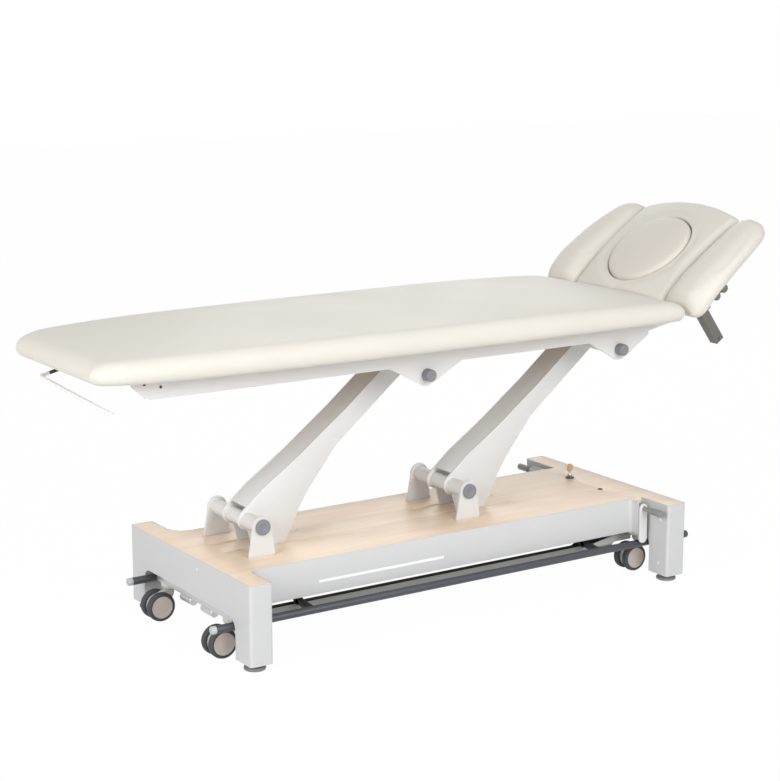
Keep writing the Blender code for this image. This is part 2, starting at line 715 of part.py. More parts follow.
def build_arm(end):
    """Welded lift arm: two cheeks, a web above, a flange below, and a tube at each pivot."""
    pivot = base_x(PIVOTS[end])
    length = ARM_LENGTH
    deep = -0.043
    lever = math.degrees(LEVER_ANGLE) - math.degrees(LIFT_ANGLE)
    yoke_far = YOKE_DROP / math.cos((LIFT_HIGH - LIFT_LOW) / 2)
    slot_half = YOKE_PIN_RADIUS + YOKE_PLAY
    along = (math.cos(math.radians(lever)), math.sin(math.radians(lever)))
    tip_reach = (YOKE_DROP + yoke_far) / 2
    tip = (along[0] * tip_reach, along[1] * tip_reach)
    tip_radius = (yoke_far - YOKE_DROP) / 2 + slot_half + 0.008
    outline = [(0.078, 0.027), (0.210, 0.015), (length - 0.172, 0.008), (length + 0.008, 0.008)]
    outline += [(length + 0.016, 0.0), (length + 0.016, deep + 0.008), (length + 0.008, deep)]
    outline += [(0.300, deep), (0.234, -0.057), (0.166, -0.072), (0.119, -0.088)]
    outline += [(0.081, -0.107), (0.039, -0.123), (0.000, -0.138)]
    outline += arc(tip, tip_radius, lever + 50, lever - 70, 8)
    outline += [(-0.055, -0.092), (-0.0345, -0.0674)]
    outline += arc((0.0, 0.0), 0.026, 235, 95, 8)
    placed = [arm_point(pivot, u, v) for u, v in outline]
    half = ARM_WIDTH / 2
    arm = prism(f"lift_arm_{end}", "Y", placed, half - CHEEK_THICKNESS, half)
    added = [prism("cheek", "Y", placed, -half, -half + CHEEK_THICKNESS)]
    web = [(0.020, 0.0262), (0.078, 0.0267), (0.210, 0.0147)]
    web += [(length - 0.172, 0.0077), (length - 0.010, 0.0077)]
    web += [(u, v - WEB_THICKNESS) for u, v in web[::-1]]
    inner = half - CHEEK_THICKNESS / 2
    added.append(prism("web", "Y", [arm_point(pivot, u, v) for u, v in web], -inner, inner))
    flange = [(0.300, deep + 0.0003), (length - 0.010, deep + 0.0003)]
    flange += [(u, v + WEB_THICKNESS) for u, v in flange[::-1]]
    added.append(prism("flange", "Y", [arm_point(pivot, u, v) for u, v in flange], -inner, inner))
    low = (pivot, LOWER_PIVOT_Z)
    high = arm_point(pivot, length, 0.0)
    tube_low = EAR_IN - 0.0005
    tube_high = RAIL_Y - RAIL_WEB - 0.0005
    added.append(rod("lower_tube", "Y", low, LOWER_TUBE_RADIUS, -tube_low, tube_low, 20))
    added.append(rod("upper_tube", "Y", high, UPPER_TUBE_RADIUS, -tube_high, tube_high, 18))
    holes = [rod("lower_bore", "Y", low, LOWER_SHAFT_RADIUS + GAP, -0.3, 0.3)]
    holes.append(rod("upper_bore", "Y", high, UPPER_SHAFT_RADIUS + GAP, -0.3, 0.3))
    near = YOKE_DROP - 0.0005
    far = yoke_far + 0.0005
    slot = stadium((along[0] * near, along[1] * near), (along[0] * far, along[1] * far), slot_half, 4)
    holes.append(prism("yoke_slot", "Y", [arm_point(pivot, u, v) for u, v in slot], -0.1, 0.1))
    finish(cut(merge(arm, added), holes), ARM_PAINT, origin=(low[0], 0.0, low[1]))
    caps = (
        (-LOWER_CAP_FACE, LOWER_CAP_RADIUS - 0.002),
        (-LOWER_CAP_FACE + 0.002, LOWER_CAP_RADIUS),
        (-EAR_OUT - GAP, LOWER_CAP_RADIUS),
        (-EAR_OUT - GAP, LOWER_SHAFT_RADIUS),
        (EAR_OUT + GAP, LOWER_SHAFT_RADIUS),
        (EAR_OUT + GAP, LOWER_CAP_RADIUS),
        (LOWER_CAP_FACE - 0.002, LOWER_CAP_RADIUS),
        (LOWER_CAP_FACE, LOWER_CAP_RADIUS - 0.002),
    )
    finish(turned(f"pivot_shaft_{end}", "Y", low, caps), CAP_GREY)
    outer = RAIL_Y + GAP
    face = RAIL_Y + UPPER_CAP_LENGTH
    caps = (
        (-face, UPPER_CAP_RADIUS - 0.003),
        (-face + 0.003, UPPER_CAP_RADIUS),
        (-outer, UPPER_CAP_RADIUS),
        (-outer, UPPER_SHAFT_RADIUS),
        (outer, UPPER_SHAFT_RADIUS),
        (outer, UPPER_CAP_RADIUS),
        (face - 0.003, UPPER_CAP_RADIUS),
        (face, UPPER_CAP_RADIUS - 0.003),
    )
    finish(turned(f"upper_shaft_{end}", "Y", high, caps), CAP_GREY)


def build_drive():
    """Linear drive: spindle tube with gearbox and motor, and the pushed rod with its yoke pin."""
    pivot = base_x(PIVOTS["head"])
    pin_z = LOWER_PIVOT_Z - YOKE_DROP
    swing = math.pi / 2 + LEVER_ANGLE
    pin_x = pivot + YOKE_DROP * YOKE_SLOPE * swing
    tube_end = pivot - DRIVE_NOSE
    tube_start = base_x(DRIVE_TAIL)
    body = rod("drive_body", "X", (0.0, pin_z), DRIVE_TUBE_RADIUS, tube_start, tube_end, 16)
    gear_low = (base_x(GEAR_START), -GEAR_LEFT, pin_z - GEAR_DOWN)
    gear = box("gear", gear_low, (base_x(GEAR_END), GEAR_RIGHT, pin_z + GEAR_UP))
    motor_line = (MOTOR_Y, CHASSIS_BOTTOM + MOTOR_RADIUS)
    motor_start = base_x(GEAR_END - 0.005)
    motor = rod("motor", "X", motor_line, MOTOR_RADIUS, motor_start, base_x(MOTOR_END), 16)
    bore = rod("bore", "X", (0.0, pin_z), ROD_RADIUS + GAP, tube_end - 0.200, tube_end + 0.01, 16)
    finish(cut(merge(body, [gear, motor]), [bore]), DRIVE_GREY)
    rod_start = tube_end - 0.080
    pushed = rod("drive_rod", "X", (0.0, pin_z), ROD_RADIUS, rod_start, pin_x, 16)
    eye = rounded_rectangle((pin_x - 0.013, pin_z - 0.013), (pin_x + 0.013, pin_z + 0.013), 0.005, 3)
    reach = ARM_WIDTH / 2 - CHEEK_THICKNESS - 0.001
    block = prism("block", "Y", eye, -reach, reach)
    end = ARM_WIDTH / 2 + 0.004
    pin = rod("pin", "Y", (pin_x, pin_z), YOKE_PIN_RADIUS, -end, end, 14)
    finish(merge(pushed, [block, pin]), ALUMINIUM, origin=(pin_x, 0.0, pin_z))


def build_foot_bars():
    """Switch bars along both sides: a tube with two hinged arms welded on, and plastic end plugs."""
    foot = base_x(-HALF_LENGTH - BAR_FOOT_REACH)
    head = base_x(HALF_LENGTH + BAR_HEAD_REACH)
    for place, side in SIGNS.items():
        line = (side * BAR_Y, BAR_Z)
        hinge = (side * CHASSIS_Y, BAR_HINGE_Z)
        ends = (foot + BAR_PLUG + GAP, head - BAR_PLUG - GAP)
        bar = rod(f"foot_bar_{place}", "X", line, BAR_RADIUS, ends[0], ends[1], 14)
        added = []
        holes = []
        for end in (-1, 1):
            start = base_x(end * BAR_ARM_X) + end * 0.0008
            stop = start + end * BAR_ARM_WIDTH
            low = min(start, stop)
            high = max(start, stop)
            elbow = (side * (CHASSIS_Y + 0.045), BAR_Z + 0.006)
            added.append(prism("arm", "X", stadium(hinge, elbow, 0.010), low, high))
            added.append(prism("arm", "X", stadium(elbow, line, 0.007), low, high))
            holes.append(rod("hole", "X", hinge, BAR_PIN_RADIUS + GAP, low - 0.01, high + 0.01, 12))
        finish(cut(merge(bar, added), holes), BAR_BLUE, origin=(base_x(0.0), *hinge))
        for name, low, turn in (("foot", foot, 1), ("head", head, -1)):
            profile = [(low, BAR_RADIUS - 0.003), (low + turn * 0.003, BAR_RADIUS)]
            profile.append((low + turn * BAR_PLUG, BAR_RADIUS))
            plug = turned(f"bar_plug_{name}_{place}", "X", line, profile, 16)
            finish(plug, PLUG_GREY, origin=(base_x(0.0), *hinge))


def build_castors():
    """Twin-wheel castors on cross beams that two cam shafts push down."""
    for end, along in ENDS.items():
        stem_x = base_x(along * LEG_X)
        shaft_x = base_x(along * PEDAL_X)
        half = BEAM_WIDTH / 2
        reach = CASTOR_Y + 0.038
        beam_plan = rounded_rectangle((stem_x - half, -reach), (stem_x + half, reach), 0.012, 2)
        beam = prism(f"castor_beam_{end}", "Z", beam_plan, BEAM_BOTTOM, BEAM_TOP)
        added = []
        holes = []
        for side in (-1, 1):
            tongue_x = sorted((shaft_x - along * 0.020, stem_x - along * 0.010))
            tongue_y = sorted((side * (CAM_Y - 0.018), side * (CAM_Y + 0.018)))
            low = (tongue_x[0], tongue_y[0], BEAM_TOP - 0.008)
            added.append(box("tongue", low, (tongue_x[1], tongue_y[1], BEAM_TOP)))
            guide = (stem_x, side * CHASSIS_Y)
            added.append(rod("guide", "Z", guide, 0.005, BEAM_TOP - 0.005, CHASSIS_TOP - 0.016, 12))
            stem = (stem_x, side * CASTOR_Y)
            holes.append(rod("stem", "Z", stem, CASTOR_STEM + GAP, BEAM_BOTTOM - 0.01, BEAM_TOP + 0.01, 12))
        finish(cut(merge(beam, added), holes), STEEL, origin=(stem_x, 0.0, BEAM_BOTTOM))
        for place, side in SIGNS.items():
            centre_y = side * CASTOR_Y
            axle_x = stem_x - CASTOR_TRAIL
            fork_top = BEAM_BOTTOM - GAP
            neck_low = AXLE_Z + WHEEL_RADIUS + 0.001
            fork = turned(
                f"castor_fork_{end}_{place}",
                "Z",
                (stem_x, centre_y),
                (
                    (neck_low, 0.013),
                    (neck_low + 0.005, 0.019),
                    (fork_top, 0.021),
                    (fork_top, CASTOR_STEM),
                    (BEAM_TOP - 0.001, CASTOR_STEM),
                ),
                14,
            )
            half_web = WHEEL_INNER - 0.0015
            web = arc((axle_x, AXLE_Z), 0.020, 120, 300, 8)
            web.append((stem_x + 0.011, AXLE_Z + 0.018))
            web += [(stem_x + 0.013, neck_low + 0.004), (stem_x - 0.013, neck_low + 0.004)]
            plate = prism("web", "Y", web, centre_y - half_web, centre_y + half_web)
            hole = rod("axle_hole", "Y", (axle_x, AXLE_Z), 0.005 + GAP, centre_y - 0.1, centre_y + 0.1, 12)
            finish(cut(merge(fork, [plate]), [hole]), CASTOR_BEIGE, origin=(stem_x, centre_y, AXLE_Z))
            inner = WHEEL_INNER
            outer = WHEEL_INNER + WHEEL_WIDTH
            half_profile = (
                (inner, 0.005),
                (inner, WHEEL_RADIUS - 0.006),
                (inner + 0.004, WHEEL_RADIUS),
                (outer - 0.004, WHEEL_RADIUS),
                (outer, WHEEL_RADIUS - 0.007),
                (outer + 0.001, 0.012),
            )
            profile = [(centre_y - y, r) for y, r in half_profile[::-1]]
            profile += [(centre_y + y, r) for y, r in half_profile]
            wheels = turned(f"castor_wheels_{end}_{place}", "Y", (axle_x, AXLE_Z), profile, 18)
            finish(wheels, TYRE, origin=(axle_x, centre_y, AXLE_Z))


def build_castor_lift():
    """Pedal shaft at the head end, cam shaft at the foot end, and the push rod that ties them."""
    swing = math.degrees(PEDAL_SWING)
    for end, along in ENDS.items():
        x = base_x(along * PEDAL_X)
        name = "pedal_shaft" if end == "head" else "cam_shaft_foot"
        reach = PEDAL_PLATE_Y + PEDAL_PLATE if end == "head" else CAM_Y + CAM_WIDTH / 2 + 0.004
        shaft = rod(name, "Y", (x, SHAFT_Z), PEDAL_SHAFT_RADIUS, -reach, reach, 14)
        added = []
        lean = math.radians(180 - swing / 2)
        cam = (x + CAM_THROW * math.cos(lean), SHAFT_Z + CAM_THROW * math.sin(lean))
        for side in (-1, 1):
            low = side * CAM_Y - CAM_WIDTH / 2
            added.append(rod("cam", "Y", cam, CAM_RADIUS, low, low + CAM_WIDTH, 20))
        down = math.radians(-90 - swing / 2)
        crank = (x + CRANK_RADIUS * math.cos(down), SHAFT_Z + CRANK_RADIUS * math.sin(down))
        added.append(prism("crank", "Y", stadium((x, SHAFT_Z), crank, 0.011), -0.006, 0.006))
        added.append(rod("crank_pin", "Y", crank, 0.005, 0.0, 0.022, 12))
        if end == "head":
            for side in (-1, 1):
                plate_y = sorted((side * PEDAL_PLATE_Y, side * (PEDAL_PLATE_Y + PEDAL_PLATE)))
                top = (x, SHAFT_Z + PEDAL_HEIGHT)
                added.append(prism("plate", "Y", stadium((x, SHAFT_Z), top, 0.013), plate_y[0], plate_y[1]))
                rod_y = sorted((side * (PEDAL_PLATE_Y + 0.001), side * (PEDAL_ROD_END - 0.045)))
                added.append(rod("foot_rod", "Y", top, PEDAL_ROD_RADIUS, rod_y[0], rod_y[1], 14))
                grip_y = sorted((side * (PEDAL_ROD_END - 0.046), side * PEDAL_ROD_END))
                added.append(rod("grip", "Y", top, PEDAL_ROD_RADIUS + 0.0025, grip_y[0], grip_y[1], 14))
        finish(merge(shaft, added), STEEL, origin=(x, 0.0, SHAFT_Z))
        if end == "head":
            head_pin = crank
        else:
            foot_pin = crank
    flat = [(foot_pin[0], head_pin[1] - 0.006), (head_pin[0], head_pin[1] - 0.006)]
    flat += [(head_pin[0], head_pin[1] + 0.006), (foot_pin[0], head_pin[1] + 0.006)]
    push = prism("castor_push_rod", "Y", flat, 0.0085, 0.0185)
    eyes = [rod("eye", "Y", pin, 0.011, 0.0085, 0.0185, 14) for pin in (foot_pin, head_pin)]
    holes = [rod("hole", "Y", pin, 0.005 + GAP, -0.1, 0.1, 12) for pin in (foot_pin, head_pin)]
    finish(cut(merge(push, eyes), holes), DARK_STEEL, origin=(head_pin[0], 0.0, head_pin[1]))


def build_top_frame():
    """Folded steel side rails with pivot gussets and hinge lugs, two cross members and the lying board."""
    upper = {end: base_x(pivot) + UPPER_DX for end, pivot in PIVOTS.items()}
    foot = upper["foot"]
    head = upper["head"]
    head_end = base_x(RAIL_HEAD)
    hinge = (base_x(HINGE_X), HINGE_Z)
    inner = RAIL_Y - RAIL_WEB
    for place, side in SIGNS.items():
        outline = [(base_x(RAIL_FOOT_TOP), RAIL_TOP), (base_x(RAIL_FOOT_TOP) + 0.004, RAIL_TOP - 0.014)]
        toe = base_x(RAIL_FOOT_BOTTOM)
        outline += [(toe - 0.012, RAIL_BOTTOM + 0.004), (toe, RAIL_BOTTOM)]
        outline += [(foot - 0.109, RAIL_BOTTOM)]
        outline += arc((foot, UPPER_Z), GUSSET_DROP, 230, 310, 8)
        outline += [(foot + 0.107, RAIL_BOTTOM), (head - 0.100, RAIL_BOTTOM)]
        outline += arc((head, UPPER_Z), GUSSET_DROP, 230, 310, 8)
        outline += [(head_end, RAIL_BOTTOM + 0.004), (head_end, RAIL_BOTTOM + 0.014)]
        outline += arc(hinge, HINGE_EYE, -100, 90, 10)
        outline += [(head_end, RAIL_TOP)]
        web = sorted((side * inner, side * RAIL_Y))
        rail = prism(f"side_rail_{place}", "Y", outline, web[0], web[1])
        flange_y = sorted((side * (inner - FLANGE_WIDTH), side * (inner + 0.003)))
        flange_low = (base_x(RAIL_FOOT_TOP) + 0.006, flange_y[0], RAIL_TOP - FLANGE_THICKNESS)
        flange = box("flange", flange_low, (head_end - 0.003, flange_y[1], RAIL_TOP - 0.0001))
        holes = [rod("hole", "Y", (x, UPPER_Z), UPPER_SHAFT_RADIUS + GAP, -0.3, 0.3) for x in (foot, head)]
        holes.append(rod("hinge", "Y", hinge, HINGE_PIN + GAP, -0.3, 0.3, 14))
        finish(cut(merge(rail, [flange]), holes), ARM_PAINT)
    for end, along in (("foot", FRAME_CROSS_FOOT), ("head", FRAME_CROSS_HEAD)):
        x = base_x(along)
        half = FRAME_CROSS_WIDTH / 2
        low = (x - half, -inner + GAP, RAIL_BOTTOM + FRAME_CROSS_RISE)
        cross_high = (x + half, inner - GAP, RAIL_TOP - FLANGE_THICKNESS - GAP)
        cross = box(f"frame_cross_{end}", low, cross_high)
        finish(cross, ARM_PAINT)
    board = main_board_outline(BOARD_INSET)
    low = RAIL_TOP + GAP
    finish(prism("main_board", "Z", board, low, low + BOARD_THICKNESS), PLYWOOD)
    reach = inner - GAP - ROLL_ROD_RADIUS
    path = (
        (base_x(PAD_FOOT + ROLL_ROOT), reach, RAIL_BOTTOM + 0.020),
        (base_x(PAD_FOOT + ROLL_KNEE), reach, RAIL_BOTTOM + 0.006),
        (base_x(PAD_FOOT + ROLL_BEND), reach - 0.004, RAIL_BOTTOM),
        (base_x(PAD_FOOT + ROLL_TURN), reach - 0.018, RAIL_BOTTOM - 0.001),
        (base_x(PAD_FOOT - ROLL_TIP), -ROLL_REACH, RAIL_BOTTOM - 0.001),
    )
    curve = bpy.data.curves.new("roll_path", "CURVE")
    curve.dimensions = "3D"
    curve.bevel_depth = ROLL_ROD_RADIUS
    curve.bevel_resolution = 3
    curve.use_fill_caps = True
    line = curve.splines.new("POLY")
    line.points.add(len(path) - 1)
    for spot, value in zip(line.points, path):
        spot.co = (*value, 1.0)
    wire = bpy.data.objects.new("roll_path", curve)
    CUTTERS.objects.link(wire)
    wire.hide_render = True
    graph = bpy.context.evaluated_depsgraph_get()
    data = bpy.data.meshes.new_from_object(wire.evaluated_get(graph))
    bpy.data.objects.remove(wire, do_unlink=True)
    built = bmesh.new()
    built.from_mesh(data)
    bmesh.ops.remove_doubles(built, verts=built.verts, dist=0.00002)
    bmesh.ops.recalc_face_normals(built, faces=built.faces)
    built.to_mesh(data)
    built.free()
    holder = bpy.data.objects.new("paper_roll_holder", data)
    CUTTERS.objects.link(holder)
    finish(holder, WHITE, smooth=True)




def half_width(along):
    """Half width of the main cushion at a distance from its foot end."""
    return step_along(PAD_HALF_WIDTHS, along * PAD_HALF_WIDTHS[-1][0] / PAD_LENGTH)


def main_board_outline(inset):
    stations = [0.072, 0.110, 0.150, 0.240, 0.480, 0.750, 1.150, 1.250, 1.450, 1.602]
    stations = [s for s in stations if inset + 0.01 <= s <= PAD_LENGTH - inset - 0.01]
    stations = [inset + 0.004] + stations + [PAD_LENGTH - inset]
    near = [(base_x(PAD_FOOT + s), -(half_width(s) - inset)) for s in stations]
    return near + [(x, -y) for x, y in near[::-1]]


def build_main_pad():
    """Foam cushion in cream vinyl, bowed in plan, edges rounded, with the board let in below."""
    edge = 0.026
    low = RAIL_TOP + GAP
    rows = [0.0, 0.003, 0.012, 0.026, 0.050, 0.080, 0.115, 0.160, 0.240, 0.360, 0.480, 0.610, 0.750, 0.880]
    rows += [1.010, 1.150, 1.250, 1.350, 1.450, 1.540]
    rows = [r for r in rows if r < PAD_LENGTH - 0.09]
    rows += [PAD_LENGTH - d for d in (0.070, 0.045, 0.026, 0.012, 0.003, 0.0)]
    columns = [-1.0, -0.988, -0.955, -0.905, -0.80, -0.50, 0.0, 0.50, 0.80, 0.905, 0.955, 0.988, 1.0]

    def plan(along, across):
        half = half_width(along)
        return (PAD_FOOT + along, across * half, min(along, PAD_LENGTH - along), (1 - abs(across)) * half)

    def place(x, y, z):
        return (base_x(x), y, z)

    def shift(along):
        return -step_along(PAD_END_FALL, min(along, PAD_LENGTH - along))

    middle = low + 0.34 * (PAD_TOP - low)
    pad = cushion("main_pad", rows, columns, plan, low, PAD_TOP, middle, edge, 0.020, 0.005, place, shift)
    edge = main_board_outline(BOARD_INSET - GAP)
    pocket = prism("pocket", "Z", edge, low - 0.01, low + BOARD_THICKNESS + GAP)
    finish(cut(pad, [pocket]), UPHOLSTERY, smooth=True)


def head_point(a, y, b):
    """From the head section's own frame to the world at rest."""
    c = math.cos(HEAD_ANGLE)
    s = math.sin(HEAD_ANGLE)
    return (base_x(HINGE_X) + a * c - b * s, y, HINGE_Z + a * s + b * c)


def to_head(made):
    """Turns a helper built with X as a and Z as b into the head section's frame."""
    turn = Matrix.Translation((base_x(HINGE_X), 0.0, HINGE_Z)) @ Matrix.Rotation(-HEAD_ANGLE, 4, "Y")
    made.data.transform(turn)
    return made


def bow(a):
    """Height of the cushions' top over the head section's length."""
    share = (a - ARCH_MID) / ARCH_HALF
    return HEAD_END_B + ARCH_RISE * (1.0 - share ** 2) + ARCH_FAR_LIFT * max(0.0, share) ** 2


def ellipse(half_a, half_y, steps=28):
    return [
        (PLUG_A + half_a * math.cos(2 * math.pi * i / steps), half_y * math.sin(2 * math.pi * i / steps))
        for i in range(steps)
    ]


def hinge_origin():
    return (base_x(HINGE_X), 0.0, HINGE_Z)


def build_head():
    """Curved head section: board with hinge arms and clamp brackets, centre cushion, face plug."""
    thick = HEAD_THICKNESS
    length = HEAD_FAR - HEAD_NEAR

    def place(a, y, b):
        return head_point(a, y, b + bow(a))

    rows = [HEAD_NEAR + length * i / 14 for i in range(15)]
    rows = [HEAD_NEAR, HEAD_NEAR + 0.003, HEAD_NEAR + 0.010, HEAD_NEAR + 0.022] + rows[2:13]
    rows += [HEAD_FAR - 0.022, HEAD_FAR - 0.010, HEAD_FAR - 0.003, HEAD_FAR]
    columns = [-1.0, -0.983, -0.945, -0.885, -0.60, 0.0, 0.60, 0.885, 0.945, 0.983, 1.0]

    def plan(along, across):
        stretch = 1.0 + HEAD_BULGE * (1.0 - across * across) / length
        ends = min(along - HEAD_NEAR, HEAD_FAR - along) * stretch
        near = HEAD_NEAR + (along - HEAD_NEAR) * stretch
        return (near, across * HEAD_HALF, ends, (1 - abs(across)) * HEAD_HALF)

    middle = -thick * 0.45
    crown = HEAD_CROWN
    pad = cushion("head_pad", rows, columns, plan, -thick, HEAD_TOP, middle, 0.022, 0.010, crown, place)
    oval = ellipse(PLUG_HALF_LENGTH + PLUG_PLAY, PLUG_HALF_WIDTH + PLUG_PLAY)
    hole = to_head(prism("face_hole", "Z", oval, -0.2, 0.2))
    finish(cut(pad, [hole]), UPHOLSTERY, origin=hinge_origin(), smooth=True)

    rim = 28
    points = []
    faces = []
    seat = -thick + 2 * GAP
    heights = ((0.45, seat), (0.86, seat), (1.0, seat), (1.0, -0.014), (0.985, -0.005), (0.95, 0.001))
    heights += ((0.86, 0.003), (0.55, 0.004), (0.2, 0.004))
    for scale, b in heights:
        for i in range(rim):
            turn = 2 * math.pi * i / rim
            a = PLUG_A + scale * PLUG_HALF_LENGTH * math.cos(turn)
            y = scale * PLUG_HALF_WIDTH * math.sin(turn)
            dome = HEAD_TOP - HEAD_CROWN * (y / HEAD_HALF) ** 2 if b > seat else 0.0
            points.append(head_point(a, y, b + bow(a) + dome))
    points.append(head_point(PLUG_A, 0.0, 0.004 + HEAD_TOP + bow(PLUG_A)))
    last = len(points) - 1
    for ring in range(len(heights) - 1):
        for i in range(rim):
            j = (i + 1) % rim
            faces.append((ring * rim + i, ring * rim + j, (ring + 1) * rim + j, (ring + 1) * rim + i))
    for i in range(rim):
        j = (i + 1) % rim
        faces.append(((len(heights) - 1) * rim + i, (len(heights) - 1) * rim + j, last))
    points.append(head_point(PLUG_A, 0.0, seat + bow(PLUG_A)))
    base = len(points) - 1
    for i in range(rim):
        j = (i + 1) % rim
        faces.append((j, i, base))
    plug = shape("face_plug", points, faces)
    finish(plug, UPHOLSTERY, origin=head_point(PLUG_A, 0.0, 0.0), smooth=True)

    top = -thick - GAP
    count = 10
    a_low = HEAD_NEAR + 0.016
    a_high = HEAD_FAR - 0.020
    stations = [a_low + (a_high - a_low) * i / count for i in range(count + 1)]
    outline = [(a, bow(a) + top) for a in stations]
    outline += [(a, bow(a) + top - BOARD_THICKNESS) for a in stations[::-1]]
    frame = prism("head_frame", "Y", outline, -HEAD_BOARD_HALF, HEAD_BOARD_HALF)
    added = []
    holes = [prism("face_hole", "Z", ellipse(PLUG_HALF_LENGTH - 0.014, PLUG_HALF_WIDTH - 0.014), -0.2, 0.2)]
    arm_high = RAIL_Y - RAIL_WEB - 0.0015
    for side in (-1, 1):
        arm_y = sorted((side * (HEAD_BOARD_HALF - 0.010), side * arm_high))
        under = [a for a in stations if 0.030 < a <= 0.20]
        arm_line = [(a, bow(a) + top - 0.0004) for a in under]
        arm_line += [(a, bow(a) + top - 0.030) for a in under[::-1]]
        added.append(prism("hinge_arm", "Y", arm_line, arm_y[0], arm_y[1]))
        eye_y = sorted((side * (HEAD_HALF + 0.001), side * arm_high))
        eye_line = arc((0.0, 0.0), HINGE_EYE, 30, 290, 12)
        eye_line += [(under[1], bow(under[1]) + top - 0.029), (under[1], bow(under[1]) + top - 0.002)]
        eye_line += [(under[0], bow(under[0]) + top - 0.002), (0.016, -0.009)]
        added.append(prism("hinge_eye", "Y", eye_line, eye_y[0], eye_y[1]))
        pin_y = sorted((side * (arm_high - 0.004), side * (RAIL_Y + 0.002)))
        added.append(rod("hinge_pin", "Y", (0.0, 0.0), HINGE_PIN, pin_y[0], pin_y[1], 14))
        sleeve_top = min(bow(POST_A - 0.021), bow(POST_A + 0.021)) + top - 0.0005
        sleeve_y = sorted((side * 0.135, side * (POST_Y + 0.020)))
        low = (POST_A - 0.021, sleeve_y[0], SLEEVE_BOTTOM)
        added.append(box("sleeve", low, (POST_A + 0.021, sleeve_y[1], sleeve_top)))
        clamp_y = sorted((side * (POST_Y - 0.020), side * POST_Y))
        clamp = (POST_A + 0.010, clamp_y[0], KNOB_B - 0.012)
        added.append(box("clamp", clamp, (KNOB_A[1] + 0.018, clamp_y[1], KNOB_B + 0.012)))
        half = POST_SIZE / 2 + GAP
        post_low = (POST_A - half, side * POST_Y - half, SLEEVE_BOTTOM - 0.02)
        holes.append(box("post_hole", post_low, (POST_A + half, side * POST_Y + half, 0.1)))
        for a in KNOB_A:
            hole_y = sorted((side * (POST_Y - 0.014), side * (POST_Y + 0.02)))
            holes.append(rod("knob_hole", "Y", (a, KNOB_B), 0.004 + GAP, hole_y[0], hole_y[1], 12))
    finish(to_head(cut(merge(frame, added), holes)), DARK_STEEL, origin=hinge_origin())




def build_armrests():
    """Banana-shaped side cushions on square posts, clamped by two knobs on each side."""
    thick = SIDE_THICKNESS
    length = SIDE_FAR - SIDE_NEAR
    for place_name, side in SIGNS.items():

        def place(a, y, b):
            return head_point(a, y, b + bow(a))

        def plan(along, across):
            share = along * SIDE_PLAN[-1][0] / length
            near = step_along([(p[0], p[1]) for p in SIDE_PLAN], share) - SIDE_PLAN[0][1] + SIDE_INNER
            far = step_along([(p[0], p[2]) for p in SIDE_PLAN], share) - SIDE_PLAN[0][1] + SIDE_INNER
            middle = side * (near + far) / 2
            half = (far - near) / 2
            ends = min(along, length - along)
            return (SIDE_NEAR + along, middle + across * half, ends, (1 - abs(across)) * half)

        def shift(along):
            return step_along(SIDE_RISE, along * SIDE_RISE[-1][0] / length)

        rows = [0.0, 0.003, 0.010, 0.022, 0.050, 0.080, 0.115, 0.150, 0.190, 0.230, 0.270, 0.305]
        rows = [r for r in rows if r < length - 0.04]
        rows += [length - d for d in (0.034, 0.022, 0.012, 0.004, 0.0)]
        columns = [-1.0, -0.94, -0.80, -0.60, 0.0, 0.60, 0.80, 0.94, 1.0]
        name = f"armrest_pad_{place_name}"
        middle = -thick * 0.42
        pad = cushion(name, rows, columns, plan, -thick, 0.0, middle, 0.034, 0.022, 0.008, place, shift)
        anchor = head_point(POST_A, side * POST_Y, 0.0)
        finish(pad, UPHOLSTERY, origin=anchor, smooth=True)
        half = POST_SIZE / 2
        top = min(bow(POST_A - half), bow(POST_A + half)) - thick - GAP
        low = (POST_A - half, side * POST_Y - half, POST_END)
        post = box(f"armrest_post_{place_name}", low, (POST_A + half, side * POST_Y + half, top))
        stop_z = POST_END + 0.009
        stop_y = (side * POST_Y - half - 0.005, side * POST_Y + half + 0.005)
        pin = rod("stop_pin", "Y", (POST_A, stop_z), 0.004, stop_y[0], stop_y[1], 12)
        finish(to_head(merge(post, [pin])), POST_BROWN, origin=anchor)
        for word, a in zip(("lower", "upper"), KNOB_A):
            face = POST_Y + GAP
            profile = (
                (side * (POST_Y - 0.012), 0.004),
                (side * face, 0.004),
                (side * face, 0.007),
                (side * (face + 0.004), KNOB_RADIUS),
                (side * (face + 0.015), KNOB_RADIUS),
                (side * (face + 0.019), KNOB_RADIUS - 0.004),
            )
            knob = turned(f"clamp_knob_{place_name}_{word}", "Y", (a, KNOB_B), profile, 14)
            finish(to_head(knob), KNOB_GREEN, origin=head_point(a, 0.0, KNOB_B))


for one_end in ENDS:
    build_end_frame(one_end)
build_side_panels()
build_deck()
build_key_and_lock()
build_chassis()
build_feet()
for one_end in ENDS:
    build_arm(one_end)
build_drive()
build_foot_bars()
build_castors()
build_castor_lift()
build_top_frame()
build_main_pad()
build_head()
build_armrests()
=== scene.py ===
"""Electric examination couch: surfaces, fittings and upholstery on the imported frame, in metres."""
import math

import bmesh
import bpy
import numpy as np
from mathutils import Matrix, Vector
from mathutils.geometry import tessellate_polygon


